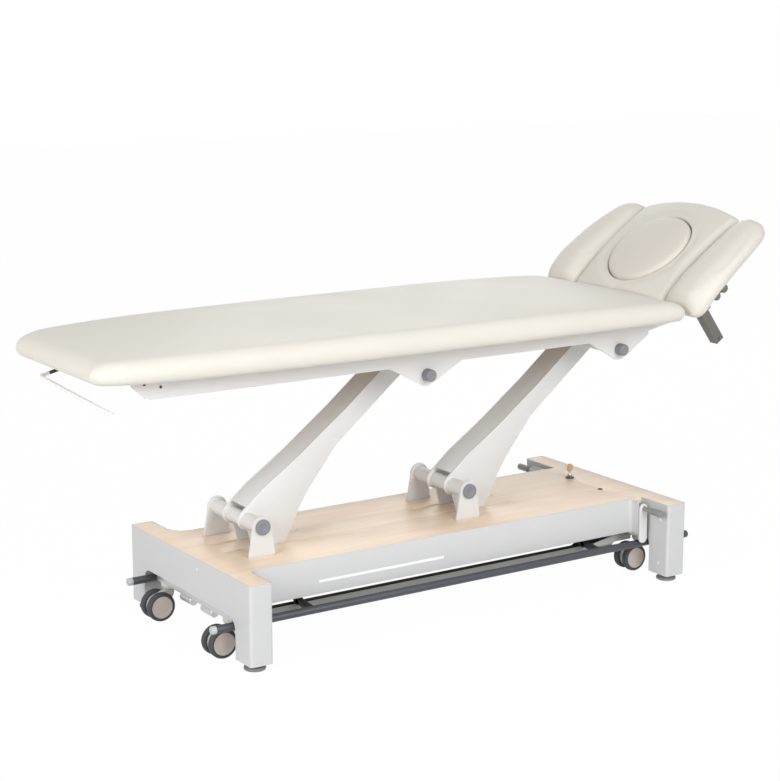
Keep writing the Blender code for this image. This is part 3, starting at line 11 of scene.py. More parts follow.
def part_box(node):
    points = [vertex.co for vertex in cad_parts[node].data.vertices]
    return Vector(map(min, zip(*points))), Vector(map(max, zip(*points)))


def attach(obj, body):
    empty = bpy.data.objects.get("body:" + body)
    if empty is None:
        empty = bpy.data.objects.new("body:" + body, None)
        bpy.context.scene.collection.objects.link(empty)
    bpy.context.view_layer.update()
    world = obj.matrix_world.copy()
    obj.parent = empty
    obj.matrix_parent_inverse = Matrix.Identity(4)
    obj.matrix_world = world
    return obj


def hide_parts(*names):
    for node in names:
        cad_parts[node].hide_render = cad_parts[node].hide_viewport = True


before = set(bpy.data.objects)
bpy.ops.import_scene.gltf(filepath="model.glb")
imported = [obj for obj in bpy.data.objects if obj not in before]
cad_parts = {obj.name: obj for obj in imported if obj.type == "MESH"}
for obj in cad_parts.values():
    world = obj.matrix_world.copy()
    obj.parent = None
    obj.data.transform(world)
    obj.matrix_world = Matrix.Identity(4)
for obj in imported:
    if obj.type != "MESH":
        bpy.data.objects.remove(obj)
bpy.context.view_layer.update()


# Studio: a pale floor in a white surround, lit by large soft lamps, mostly from the front.
# The camera stands off the front corner of the foot end, a little above the cushion.
scene = bpy.context.scene


def placed(name, data):
    made = bpy.data.objects.new(name, data)
    scene.collection.objects.link(made)
    return made


def meshed(name, shape, finish):
    """Makes a bmesh an object in one material."""
    data = bpy.data.meshes.new(name)
    shape.to_mesh(data)
    shape.free()
    data.materials.append(finish)
    return placed(name, data)


def shader_node(tree, kind, settings=None, **sockets):
    made = tree.nodes.new(kind)
    for key, value in (settings or {}).items():
        setattr(made, key, value)
    for key, value in sockets.items():
        made.inputs[key.replace("_", " ")].default_value = value
    return made


def wire(tree, *pairs):
    for source, target in pairs:
        tree.links.new(source, target)


def new_finish(name):
    made = bpy.data.materials.new(name)
    made.use_nodes = True
    return made, made.node_tree


def seen_directly(tree):
    """One for rays from the camera or by way of a mirror or glass, and nought for the light itself."""
    path = shader_node(tree, "ShaderNodeLightPath")
    either = shader_node(tree, "ShaderNodeMath", {"operation": "MAXIMUM"})
    any_of = shader_node(tree, "ShaderNodeMath", {"operation": "MAXIMUM"})
    wire(
        tree, (path.outputs["Is Camera Ray"], either.inputs[0]), (path.outputs["Is Glossy Ray"], either.inputs[1]),
        (either.outputs[0], any_of.inputs[0]), (path.outputs["Is Transmission Ray"], any_of.inputs[1]),
    )
    return any_of.outputs[0]


view_data = bpy.data.cameras.new("photo_view")
view_data.lens, view_data.sensor_width, view_data.clip_end = 87.9, 36.0, 80.0
view = placed("photo_view", view_data)
view.location = (-2.717, -4.028, 1.580)
view.rotation_euler = (math.radians(90.0 - 11.97), 0.0, math.radians(-33.33))
scene.camera = view
scene.view_settings.view_transform = "Standard"

white = (1.0, 1.0, 1.0, 1.0)
room = bpy.data.worlds.new("white_room")
scene.world = room
room.use_nodes = True
room_tree = room.node_tree
room_light = room_tree.nodes["Background"]
room_light.inputs["Color"].default_value = white
room_light.inputs["Strength"].default_value = 0.37
room_seen = shader_node(room_tree, "ShaderNodeBackground", Color=white, Strength=1.0)
room_mix = shader_node(room_tree, "ShaderNodeMixShader")
wire(
    room_tree, (seen_directly(room_tree), room_mix.inputs[0]), (room_light.outputs[0], room_mix.inputs[1]),
    (room_seen.outputs[0], room_mix.inputs[2]),
    (room_mix.outputs[0], room_tree.nodes["World Output"].inputs["Surface"]),
)

floor_paint, floor_tree = new_finish("studio_floor")
floor_tree.nodes.remove(floor_tree.nodes["Principled BSDF"])
floor_matt = shader_node(floor_tree, "ShaderNodeBsdfDiffuse", Color=(0.86, 0.86, 0.86, 1.0))
floor_white = shader_node(floor_tree, "ShaderNodeEmission", Strength=1.0)
floor_share = shader_node(floor_tree, "ShaderNodeMath", {"operation": "MULTIPLY"})
floor_share.inputs[1].default_value = 0.985
floor_mix = shader_node(floor_tree, "ShaderNodeMixShader")
wire(
    floor_tree, (seen_directly(floor_tree), floor_share.inputs[0]), (floor_share.outputs[0], floor_mix.inputs[0]),
    (floor_matt.outputs[0], floor_mix.inputs[1]), (floor_white.outputs[0], floor_mix.inputs[2]),
    (floor_mix.outputs[0], floor_tree.nodes["Material Output"].inputs["Surface"]),
)
floor_shape = bmesh.new()
bmesh.ops.create_grid(floor_shape, x_segments=2, y_segments=2, size=14.0)
bmesh.ops.translate(floor_shape, verts=floor_shape.verts, vec=(0.0, 0.0, -0.0006))
meshed("studio_floor", floor_shape, floor_paint)

for lamp_name, spot, aim, width, power in (
    ("front_lamp", (0.2, -4.6, 2.5), (0.1, 0.0, 0.35), 3.2, 132.0),
    ("top_lamp", (0.2, -0.4, 4.2), (0.1, 0.0, 0.6), 3.4, 4.0),
    ("foot_lamp", (-4.4, -1.4, 2.3), (0.2, 0.0, 0.45), 2.6, 112.0),
    ("back_lamp", (2.6, 3.8, 2.6), (0.1, 0.0, 0.5), 2.8, 30.0),
):
    lamp_data = bpy.data.lights.new(lamp_name, "AREA")
    lamp_data.shape, lamp_data.size, lamp_data.energy = "DISK", width, power
    lamp = placed(lamp_name, lamp_data)
    lamp.location = spot
    lamp.rotation_euler = (Vector(aim) - Vector(spot)).to_track_quat("-Z", "Y").to_euler()


# End frames: folded steel shells with a leg at each corner, welded and powder coated in pale grey.
# The coat leaves rounded edges and a fine orange peel. Small white caps close their fixing holes.
both_ends = ("foot", "head")
cloud_scale = 7.0


def texture_group(name, inputs, outputs):
    """A group of textures in object coordinates: its tree, those coordinates, and its sockets."""
    tree = bpy.data.node_groups.new(name, "ShaderNodeTree")
    for way, sockets in (("INPUT", inputs), ("OUTPUT", outputs)):
        for socket in sockets:
            tree.interface.new_socket(socket, in_out=way, socket_type="NodeSocketFloat")
    spots = shader_node(tree, "ShaderNodeTexCoord").outputs["Object"]
    return tree, spots, shader_node(tree, "NodeGroupInput").outputs, shader_node(tree, "NodeGroupOutput").inputs


coat_texture, spots, scales, results = texture_group("coat_texture", ("Cloud Scale", "Peel Scale"), ("Cloud", "Peel"))
for result, detail, roughness in (("Cloud", 3.0, 0.55), ("Peel", 2.0, 0.5)):
    noise = shader_node(coat_texture, "ShaderNodeTexNoise", Detail=detail, Roughness=roughness)
    wire(
        coat_texture, (spots, noise.inputs["Vector"]), (scales[result + " Scale"], noise.inputs["Scale"]),
        (noise.outputs["Fac"], results[result]),
    )


def two_tone(tree, share, deep, pale):
    """A colour between two, by a share that changes over the surface."""
    tone = shader_node(tree, "ShaderNodeMix", {"data_type": "RGBA"})
    tone.inputs[6].default_value = (*deep, 1.0)
    tone.inputs[7].default_value = (*pale, 1.0)
    tree.links.new(share, tone.inputs[0])
    return tone


def surfaced(tree, colour, drift, smooth, rough, height, relief, depth):
    """Wires a colour, a gloss that drifts and a relief to the material's own shader."""
    shader = tree.nodes["Principled BSDF"]
    gloss = shader_node(tree, "ShaderNodeMapRange", From_Min=0.3, From_Max=0.7, To_Min=smooth, To_Max=rough)
    bump = shader_node(tree, "ShaderNodeBump", Strength=relief, Distance=depth)
    wire(
        tree, (colour, shader.inputs["Base Color"]), (drift, gloss.inputs["Value"]),
        (gloss.outputs["Result"], shader.inputs["Roughness"]), (height, bump.inputs["Height"]),
        (bump.outputs["Normal"], shader.inputs["Normal"]),
    )
    return shader


def coated(name, deep, pale, smooth, rough, peel_scale, relief, metallic=0.0):
    """A coated or moulded surface: its tone and gloss drift a little, over a fine relief."""
    made, tree = new_finish(name)
    texture = shader_node(
        tree, "ShaderNodeGroup", {"node_tree": coat_texture}, Cloud_Scale=cloud_scale, Peel_Scale=peel_scale,
    )
    cloud = texture.outputs["Cloud"]
    tone = two_tone(tree, cloud, deep, pale)
    shader = surfaced(tree, tone.outputs[2], cloud, smooth, rough, texture.outputs["Peel"], relief, 0.0004)
    shader.inputs["Metallic"].default_value = metallic
    return made


def piece(name, shape, finish, body, sharp=40.0):
    """Makes a bmesh an object on a body, smooth except over its sharp edges."""
    for face in shape.faces:
        face.smooth = True
    for edge in shape.edges:
        if len(edge.link_faces) == 2 and edge.calc_face_angle(0.0) > math.radians(sharp):
            edge.smooth = False
    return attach(meshed(name, shape, finish), body)


def fitted(name, shape, finish, body, node=None, sharp=40.0):
    """A piece in its material slot, in place of a solid of the frame where it has one."""
    made = piece(name, shape, finish, body, sharp)
    if node:
        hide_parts(node)
    return made


def crossing(shape):
    """Whether a face of the mesh folds over itself, which shows as more area in its triangles than in its outline."""
    for face in shape.faces:
        spots = [vert.co for vert in face.verts]
        area = sum(
            (spots[b] - spots[a]).cross(spots[c] - spots[a]).length / 2.0 for a, b, c in tessellate_polygon([spots])
        )
        if abs(area - face.calc_area()) > max(5e-7, 0.004 * area):
            return True
    return False


def eased(node, finish, body, width=0.0009):
    """Stands for a solid whose shape is right, with its edges rounded as far as its narrowest face allows."""
    for share in (1.0, 0.6, 0.3, 0.15, 0.0):
        shape = bmesh.new()
        shape.from_mesh(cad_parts[node].data)
        bmesh.ops.remove_doubles(shape, verts=shape.verts, dist=0.00002)
        if not share:
            break
        bmesh.ops.dissolve_limit(shape, angle_limit=0.01, verts=shape.verts, edges=shape.edges)
        corners = [e for e in shape.edges if len(e.link_faces) == 2 and e.calc_face_angle(0.0) > 0.62]
        bmesh.ops.bevel(
            shape, geom=corners, offset=width * share, offset_type="OFFSET", affect="EDGES", segments=2,
            profile=0.5, material=-1, clamp_overlap=False,
        )
        if not crossing(shape):
            break
        shape.free()
    made = fitted(node + "_skin", shape, finish, body, node)
    made.modifiers.new("even_normals", "WEIGHTED_NORMAL").keep_sharp = True


grey_coat = coated("grey_powder_coat", (0.618, 0.623, 0.631), (0.652, 0.655, 0.660), 0.42, 0.52, 900.0, 0.10)
for end in both_ends:
    eased(f"end_frame_{end}", grey_coat, "base", 0.0012)


def turned(axis, centre, profile, steps, shape=None):
    """Spins a profile of (along, radius) pairs about an axis through a point of the cross plane."""
    shape = bmesh.new() if shape is None else shape
    along, first, second = {"X": (0, 1, 2), "Y": (1, 0, 2), "Z": (2, 0, 1)}[axis]
    points = []
    for distance, radius in profile:
        spot = [0.0, 0.0, 0.0]
        spot[along] = distance
        spot[first] = centre[0] + radius
        spot[second] = centre[1]
        points.append(shape.verts.new(spot))
    line = [shape.edges.new(pair) for pair in zip(points, points[1:])]
    turn_axis = [0.0, 0.0, 0.0]
    turn_axis[along] = 1.0
    middle = [0.0, 0.0, 0.0]
    middle[first], middle[second] = centre
    bmesh.ops.spin(
        shape, geom=points + line, cent=middle, axis=turn_axis, angle=2.0 * math.pi,
        steps=steps, use_merge=True, use_duplicate=False,
    )
    bmesh.ops.remove_doubles(shape, verts=shape.verts, dist=0.000005)
    bmesh.ops.recalc_face_normals(shape, faces=shape.faces)
    return shape


cap_white = coated("white_cap_plastic", (0.80, 0.80, 0.79), (0.86, 0.86, 0.85), 0.35, 0.45, 1200.0, 0.04)
cap_spots = ((0.6185, -0.2844, 0.1715), (0.6185, -0.2796, 0.0494), (-0.6645, -0.0522, 0.1904))
cap_profile = ((0.0010, 0.0), (0.0010, 0.0042), (-0.0004, 0.0042), (-0.0012, 0.0030), (-0.0015, 0.0))
for number, (x, y, z) in enumerate(cap_spots):
    shape = turned("X", (y, z), [(x + along, r) for along, r in cap_profile], 24)
    piece(f"fixing_cap_{number}", shape, cap_white, "base")


# Levelling feet: a grey moulded disc under a zinc hexagon nut, on a threaded stem screwed into the leg.
# The disc has a rounded rim and a shallow cone up to the nut.
foot_plastic = coated("foot_grey_plastic", (0.190, 0.192, 0.188), (0.250, 0.252, 0.246), 0.50, 0.62, 1500.0, 0.15)
zinc = coated("zinc_plate", (0.52, 0.52, 0.53), (0.66, 0.66, 0.66), 0.28, 0.42, 700.0, 0.05, metallic=1.0)
sides = {"front": -1, "rear": 1}
disc_profile = (
    (0.0, 0.0), (0.0, 0.0245), (0.0010, 0.0262), (0.0030, 0.0270), (0.0058, 0.0268), (0.0076, 0.0256),
    (0.0086, 0.0225), (0.0104, 0.0150), (0.0112, 0.0138), (0.0116, 0.0),
)
stem_profile = ((0.0110, 0.0), (0.0110, 0.0058), (0.0440, 0.0058), (0.0440, 0.0))


def rounded_rims(shape, axis, radius, segments=2):
    """Rounds the edges that lie square to an axis."""
    along = "XYZ".index(axis)
    rims = [e for e in shape.edges if abs(e.verts[0].co[along] - e.verts[1].co[along]) < 1e-6]
    bmesh.ops.bevel(shape, geom=rims, offset=radius, affect="EDGES", segments=segments, profile=0.5, material=-1)


for end in both_ends:
    for side in sides:
        tag = f"{end}_{side}"
        low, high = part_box(f"levelling_foot_{tag}")
        spot = ((low.x + high.x) / 2, (low.y + high.y) / 2)
        shape = turned("Z", spot, disc_profile, 48)
        fitted(f"levelling_disc_{tag}", shape, foot_plastic, "base", f"levelling_foot_{tag}")
        shape = bmesh.new()
        bmesh.ops.create_cone(
            shape, cap_ends=True, segments=6, radius1=0.0112, radius2=0.0112, depth=0.0062,
            matrix=Matrix.Translation((*spot, 0.0146)),
        )
        rounded_rims(shape, "Z", 0.0009)
        turned("Z", spot, stem_profile, 20, shape)
        fitted(f"levelling_stem_{tag}", shape, zinc, "base")


# Side panels: folded sheet from the foot end to a slot for the pedal, bent outwards at both ends, in the same coat.
# The leg beside the slot is closed by a plate. The front panel carries a plain white stripe of thin film.
deck_top, panel_low, sheet_thick = 0.217, 0.1255, 0.003
panel_foot, panel_head, leg_face = -0.6022, 0.5809, 0.6185
panel_bends = {"front": (0.206, 0.022), "rear": (0.186, 0.045)}
slot_bend, flange_out = 0.0090, 0.2352


def arc_points(centre, radius, start, stop, count):
    turns = [math.radians(start + (stop - start) * k / count) for k in range(count + 1)]
    return [(centre[0] + radius * math.cos(t), centre[1] + radius * math.sin(t)) for t in turns]


def plate(axis, loops, low, high, soft, shape=None):
    """A flat plate square to Y or Z: the first loop is its outline, the others are holes, its rims are rounded."""
    sheet = bmesh.new()
    rims = []
    for loop in loops:
        spots = [sheet.verts.new((u, low, v) if axis == "Y" else (u, v, low)) for u, v in loop]
        rims += [sheet.edges.new(pair) for pair in zip(spots, spots[1:] + spots[:1])]
    bmesh.ops.triangle_fill(sheet, use_beauty=True, use_dissolve=False, edges=rims)
    grown = bmesh.ops.extrude_face_region(sheet, geom=sheet.faces[:], use_keep_orig=True)
    raised = [g for g in grown["geom"] if isinstance(g, bmesh.types.BMVert)]
    along = 1 if axis == "Y" else 2
    bmesh.ops.translate(sheet, verts=raised, vec=(0.0, high - low, 0.0) if axis == "Y" else (0.0, 0.0, high - low))
    bmesh.ops.recalc_face_normals(sheet, faces=sheet.faces)
    corners = [
        e for e in sheet.edges
        if e.calc_face_angle(0.0) > 0.62 and abs(e.verts[0].co[along] - e.verts[1].co[along]) < 1e-6
    ]
    bmesh.ops.bevel(
        sheet, geom=corners, offset=soft, offset_type="OFFSET", affect="EDGES", segments=2,
        profile=0.5, material=-1, loop_slide=False,
    )
    data = bpy.data.meshes.new("plate")
    sheet.to_mesh(data)
    sheet.free()
    shape = bmesh.new() if shape is None else shape
    shape.from_mesh(data)
    bpy.data.meshes.remove(data)
    return shape


def block(shape, middle, sizes):
    bmesh.ops.create_cube(shape, size=1.0, matrix=Matrix.Translation(middle) @ Matrix.Diagonal((*sizes, 1.0)))


def panel_line(side, inward):
    """Plan line of the body's side from the foot end to the flange at the pedal slot, moved inwards by an offset."""
    sign, (line, fillet) = sides[side], panel_bends[side]
    first = math.degrees(math.acos(fillet / (fillet + inward)))
    bend = arc_points((0.0, 0.0), fillet + inward, first, 90.0, 10)
    points = [(panel_foot + fillet - u, sign * (line + fillet - v)) for u, v in bend]
    bend = arc_points((0.0, 0.0), slot_bend + inward, 90.0, 0.0, 8)
    points += [(panel_head - slot_bend + u, sign * (line + slot_bend - v)) for u, v in bend]
    return points + [(panel_head + inward, sign * flange_out)]


for side, sign in sides.items():
    shape = plate("Z", [panel_line(side, 0.0) + panel_line(side, sheet_thick)[::-1]], panel_low, deck_top, 0.0007)
    panel = f"side_panel_{side}"
    fitted(panel + "_skin", shape, grey_coat, "base", panel)
    line, fillet = panel_bends[side]
    reach = sorted((sign * 0.1250, sign * (line + fillet + 0.0045)))
    shape = bmesh.new()
    cover_x = leg_face + sheet_thick / 2
    block(shape, (cover_x, sum(reach) / 2, 0.1530), (sheet_thick, reach[1] - reach[0], 0.088))
    block(shape, (cover_x, sign * (line + fillet * 0.5), 0.2070), (sheet_thick, fillet + 0.0060, 0.0200))
    fitted(f"leg_cover_{side}", shape, grey_coat, "base")
stripe_film = coated("stripe_film", (0.90, 0.90, 0.90), (0.93, 0.93, 0.93), 0.40, 0.48, 1500.0, 0.02)
panel_face = -0.2060
shape = bmesh.new()
block(shape, (-0.225, panel_face - 0.00005, 0.1575), (0.372, 0.0004, 0.0068))
ends = [e for e in shape.edges if abs(e.verts[0].co.y - e.verts[1].co.y) > 1e-5]
bmesh.ops.bevel(shape, geom=ends, offset=0.0012, affect="EDGES", segments=3, profile=0.5, material=-1)
piece("panel_stripe", shape, stripe_film, "base")


# Deck: one birch plywood board, lacquered, let in flush between the end frames, with slots for the arms.
# Its grain runs along the couch. A black rubber insert lines a spare hole.
wood_figure, spots, _, results = texture_group("wood_figure", (), ("Figure", "Fibre"))
for result, stretch, scale, detail, distortion in (
    ("Figure", (1.3, 13.0, 13.0), 1.6, 5.0, 0.9), ("Fibre", (14.0, 620.0, 620.0), 1.0, 3.0, 0.0),
):
    mapping = shader_node(wood_figure, "ShaderNodeMapping", Scale=stretch)
    noise = shader_node(
        wood_figure, "ShaderNodeTexNoise", Scale=scale, Detail=detail, Roughness=0.6, Distortion=distortion,
    )
    wire(
        wood_figure, (spots, mapping.inputs["Vector"]), (mapping.outputs["Vector"], noise.inputs["Vector"]),
        (noise.outputs["Fac"], results[result]),
    )


def wooden(name, dark, light, fleck, smooth, rough):
    """Veneer: broad bands of two tones, with darker flecks along the fibre."""
    made, tree = new_finish(name)
    wood = shader_node(tree, "ShaderNodeGroup", {"node_tree": wood_figure})
    fibre = wood.outputs["Fibre"]
    spread = shader_node(tree, "ShaderNodeMapRange", From_Min=0.36, From_Max=0.64)
    thin = shader_node(tree, "ShaderNodeMapRange", From_Min=0.55, From_Max=0.80, To_Max=0.45)
    wire(tree, (wood.outputs["Figure"], spread.inputs["Value"]), (fibre, thin.inputs["Value"]))
    tone = two_tone(tree, spread.outputs["Result"], dark, light)
    flecked = two_tone(tree, thin.outputs["Result"], dark, fleck)
    tree.links.new(tone.outputs[2], flecked.inputs[6])
    surfaced(tree, flecked.outputs[2], fibre, smooth, rough, fibre, 0.12, 0.0003)
    return made


birch = wooden("lacquered_birch", (0.90, 0.712, 0.540), (0.945, 0.800, 0.645), (0.80, 0.595, 0.415), 0.36, 0.50)
deck_low, deck_gap, deck_corner = 0.199, 0.0033, 0.0053
deck_ends, deck_mouths, deck_half = (-0.6612, 0.6772), (-0.6058, 0.6218), 0.3117
front_line, rear_line = panel_line("front", deck_gap), panel_line("rear", deck_gap)
front_notch, rear_notch = -0.2027, 0.1827
lock_at, insert_at = (0.585, 0.066), (0.578, -0.077)
arm_pivots = {"foot": -0.5177, "head": 0.1010}
arm_slot, slot_round, slot_back, slot_reach = 0.039, 0.006, 0.060, 0.186
ear_in, ear_out, ear_back, ear_reach = 0.109, 0.121, 0.041, 0.038


def deck_lobe(low, high, side):
    """Two rounded corners of the deck where it runs out over the legs, on the side of one sign."""
    start, y = (180.0, deck_corner - deck_half) if side < 0 else (0.0, deck_half - deck_corner)
    spots = [low + deck_corner, high - deck_corner][:: -side]
    return [
        point for k, x in enumerate(spots)
        for point in arc_points((x, y), deck_corner, start + 90.0 * k, start + 90.0 * (k + 1), 5)
    ]


deck_line = deck_lobe(deck_ends[0], deck_mouths[0], -1)
deck_line += [(deck_mouths[0], front_line[0][1])] + front_line[:-1]
deck_line += [(front_line[-1][0], front_notch), (deck_mouths[1], front_notch)]
deck_line += deck_lobe(deck_mouths[1], deck_ends[1], -1) + deck_lobe(deck_mouths[1], deck_ends[1], 1)
deck_line += [(deck_mouths[1], rear_notch), (rear_line[-1][0], rear_notch)]
deck_line += rear_line[-2::-1] + [(deck_mouths[0], rear_line[0][1])]
deck_line += deck_lobe(deck_ends[0], deck_mouths[0], 1)
deck_holes = [arc_points(spot, radius, 0.0, 345.0, 23) for spot, radius in ((lock_at, 0.0088), (insert_at, 0.0055))]
for pivot in arm_pivots.values():
    for sign in sides.values():
        near, far = (pivot - slot_back, sign * arm_slot), (pivot + slot_reach, sign * arm_slot)
        deck_holes.append(arc_points(near, slot_round, 90.0, 270.0, 8) + arc_points(far, slot_round, -90.0, 90.0, 8))
        ear_low, ear_high = sorted((sign * ear_in, sign * ear_out))
        ear_near, ear_far = pivot - ear_back, pivot + ear_reach
        deck_holes.append([(ear_near, ear_low), (ear_far, ear_low), (ear_far, ear_high), (ear_near, ear_high)])
shape = plate("Z", [deck_line] + deck_holes, deck_low, deck_top, 0.0008)
fitted("deck_board_skin", shape, birch, "base", "deck_board")
insert_black = coated("insert_black_rubber", (0.014, 0.013, 0.012), (0.024, 0.022, 0.020), 0.60, 0.72, 1400.0, 0.15)
shape = turned(
    "Z", insert_at,
    [(deck_top + z, r) for z, r in (
        (-0.0130, 0.0), (-0.0130, 0.0052), (0.0003, 0.0052), (0.0003, 0.0074), (0.0009, 0.0068), (0.0008, 0.0040),
        (-0.0030, 0.0036), (-0.0030, 0.0),
    )],
    32,
)
fitted("deck_insert", shape, insert_black, "base")


# Safety lock: a dark steel barrel let into the deck, with a zinc-plated key in it that has a tan plastic bow.
# Turning it locks the drive.
dark_steel = coated("dark_steel", (0.050, 0.050, 0.054), (0.085, 0.085, 0.090), 0.38, 0.50, 900.0, 0.08, metallic=0.55)
key_tan = coated("key_tan", (0.50, 0.335, 0.185), (0.60, 0.425, 0.255), 0.45, 0.58, 1400.0, 0.12)
shape = turned(
    "Z", lock_at,
    [
        (0.1990, 0.0), (0.1990, 0.0083), (0.2174, 0.0083), (0.2174, 0.0124), (0.2186, 0.0122), (0.2208, 0.0112),
        (0.2212, 0.0102), (0.2208, 0.0060), (0.2196, 0.0048), (0.2080, 0.0046), (0.2080, 0.0),
    ],
    36,
)
fitted("lock_barrel", shape, dark_steel, "base", "key_lock")
shape = turned(
    "Z", lock_at,
    [
        (0.2100, 0.0), (0.2100, 0.0039), (0.2226, 0.0039), (0.2232, 0.0058), (0.2240, 0.0064), (0.2300, 0.0064),
        (0.2310, 0.0058), (0.2316, 0.0040), (0.2370, 0.0038), (0.2370, 0.0),
    ],
    28,
)
fitted("key_shank", shape, zinc, "key")
key_high = 0.2470
shape = bmesh.new()
bmesh.ops.create_cone(
    shape, cap_ends=True, segments=36, radius1=0.0112, radius2=0.0112, depth=0.0044,
    matrix=Matrix.Translation((*lock_at, key_high)) @ Matrix.Rotation(math.pi / 2, 4, "X"),
)
key_middle = Matrix.Translation((-lock_at[0], 0.0, -key_high))
bmesh.ops.scale(shape, verts=shape.verts, vec=(0.92, 1.0, 1.06), space=key_middle)
rounded_rims(shape, "Y", 0.0013, 3)
fitted("key_bow", shape, key_tan, "key", "key")


# Chassis: two steel rails under the deck whose ears stand up through it and carry the lift arms' shafts,
# tied by a cross member. Welded and coated with the arms in light grey.
light_coat = coated("light_powder_coat", (0.735, 0.735, 0.728), (0.770, 0.770, 0.762), 0.38, 0.48, 900.0, 0.10)
for side in sides:
    eased(f"chassis_rail_{side}", light_coat, "base", 0.0008)
eased("chassis_cross", light_coat, "base", 0.0010)


# Linear drive: a spindle tube with its gearbox and motor in black plastic, the pushed rod with its yoke pin,
# and the control box under the deck.
black_plastic = coated("black_plastic", (0.030, 0.030, 0.033), (0.048, 0.048, 0.051), 0.45, 0.60, 1600.0, 0.22)
bright_rod = coated("bright_rod", (0.60, 0.60, 0.61), (0.72, 0.72, 0.73), 0.18, 0.28, 500.0, 0.02, metallic=1.0)
eased("drive_body", black_plastic, "base", 0.0016)
eased("control_box", black_plastic, "base", 0.0020)
eased("drive_rod", bright_rod, "drive_rod", 0.0005)


# Foot switch bars: a dark blue-grey tube along each side, hung on two arms from the chassis.
# Lifting or pressing a bar anywhere moves the couch up or down. Its foot end has a pale plug; the same plug at its head
# end is given the bar's dark coat, which is painted shade.
bar_coat = coated("bar_blue_grey", (0.052, 0.056, 0.070), (0.070, 0.075, 0.092), 0.36, 0.48, 1100.0, 0.10)
plug_plastic = coated("plug_pale_plastic", (0.47, 0.48, 0.50), (0.55, 0.56, 0.58), 0.45, 0.55, 1500.0, 0.08)


def linked(axis, low, high, first, second, first_radius, second_radius, steps):
    """A flat link with round ends: the hull of two short cylinders."""
    shape = bmesh.new()
    turn = {"X": Matrix.Rotation(math.pi / 2, 4, "Y"), "Y": Matrix.Rotation(math.pi / 2, 4, "X")}[axis]
    verts = []
    for spot, radius in ((first, first_radius), (second, second_radius)):
        middle = ((low + high) / 2, *spot) if axis == "X" else (spot[0], (low + high) / 2, spot[1])
        made = bmesh.ops.create_cone(
            shape, cap_ends=True, segments=steps, radius1=radius, radius2=radius, depth=high - low,
            matrix=Matrix.Translation(middle) @ turn,
        )
        verts += made["verts"]
    hull = bmesh.ops.convex_hull(shape, input=verts)
    spare = [g for g in hull["geom_interior"] + hull["geom_unused"] if g.is_valid]
    bmesh.ops.delete(shape, geom=[g for g in spare if isinstance(g, bmesh.types.BMVert)], context="VERTS")
    buried = set(hull["geom_interior"])
    bmesh.ops.delete(shape, geom=[f for f in shape.faces if f.is_valid and f in buried], context="FACES")
    bmesh.ops.dissolve_limit(shape, angle_limit=0.01, verts=shape.verts, edges=shape.edges)
    return shape


for side, sign in sides.items():
    bar = f"foot_bar_{side}"
    low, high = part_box(bar)
    line, bar_radius = (0.224 * sign, 0.095), 0.0100
    shape = turned(
        "X", line,
        [
            (low.x, 0.0), (low.x, 0.0088), (low.x + 0.0008, 0.0097), (low.x + 0.002, bar_radius),
            (high.x - 0.002, bar_radius), (high.x - 0.0008, 0.0097), (high.x, 0.0088), (high.x, 0.0),
        ],
        36,
    )
    fitted(f"switch_bar_{side}", shape, bar_coat, bar, bar)
    for word, near in (("foot", -0.4408), ("head", 0.4568)):
        knee, link_half = (0.160 * sign, 0.101), 0.0075
        for name, first, second, wide, thin in (
            ("hinge_link", (0.115 * sign, 0.126), knee, 0.0100, 0.0098), ("bar_link", knee, line, 0.0070, 0.0070),
        ):
            shape = linked("X", near - link_half, near + link_half, first, second, wide, thin, 28)
            rounded_rims(shape, "X", 0.0008)
            fitted(f"{name}_{word}_{side}", shape, black_plastic, bar)
    # The head end plug takes the dark bar coat in place of its pale plastic: painted shade where it faces away from the
    # lamps.
    for word, turn, finish, slot in (
        ("foot", 1, plug_plastic, "plug_light_grey"), ("head", -1, bar_coat, "bar_dark_blue"),
    ):
        node = f"bar_plug_{word}_{side}"
        low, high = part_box(node)
        tip, root = (low.x, high.x) if turn == 1 else (high.x, low.x)
        dome = ((0.0, 0.0), (0.0001, 0.0050), (0.0008, 0.0077), (0.0022, 0.0094), (0.0042, bar_radius))
        collar = ((0.0010, bar_radius), (0.0004, 0.0094), (0.0, 0.0088), (0.0, 0.0))
        profile = [(tip + turn * x, r) for x, r in dome] + [(root - turn * x, r) for x, r in collar]
        fitted(f"bar_end_{word}_{side}", turned("X", line, profile, 36), finish, bar, node)


# Castors: twin wheels of 75 mm beside a pale moulded hood. Each wheel has a grey tread moulded on a beige hub disc,
# which is dished a little inside its rim.
tread_rubber = coated("tread_rubber", (0.040, 0.042, 0.052), (0.062, 0.064, 0.076), 0.55, 0.70, 1300.0, 0.25)
hub_plastic = coated("hub_beige_plastic", (0.580, 0.500, 0.435), (0.650, 0.565, 0.495), 0.42, 0.55, 1500.0, 0.10)
neck_plastic = coated("neck_pale_plastic", (0.60, 0.595, 0.53), (0.69, 0.685, 0.62), 0.42, 0.55, 1500.0, 0.10)
castor_stems, axle_back, axle_high, castor_y = {"foot": -0.6335, "head": 0.6495}, 0.033, 0.0415, 0.164
tread_profile = (
    (0.0085, 0.0288), (0.0085, 0.0320), (0.0092, 0.0348), (0.0112, 0.0366), (0.0140, 0.0374), (0.0210, 0.0374),
    (0.0236, 0.0368), (0.0258, 0.0350), (0.0268, 0.0326), (0.0271, 0.0298), (0.0267, 0.0288), (0.0085, 0.0288),
)
hub_profile = (
    (0.0082, 0.0), (0.0082, 0.0286), (0.0262, 0.0286), (0.0272, 0.0280), (0.0273, 0.0262), (0.0267, 0.0248),
    (0.0266, 0.0130), (0.0268, 0.0060), (0.0269, 0.0),
)
axle_profile = ((-0.0084, 0.0), (-0.0084, 0.0049), (0.0084, 0.0049), (0.0084, 0.0))
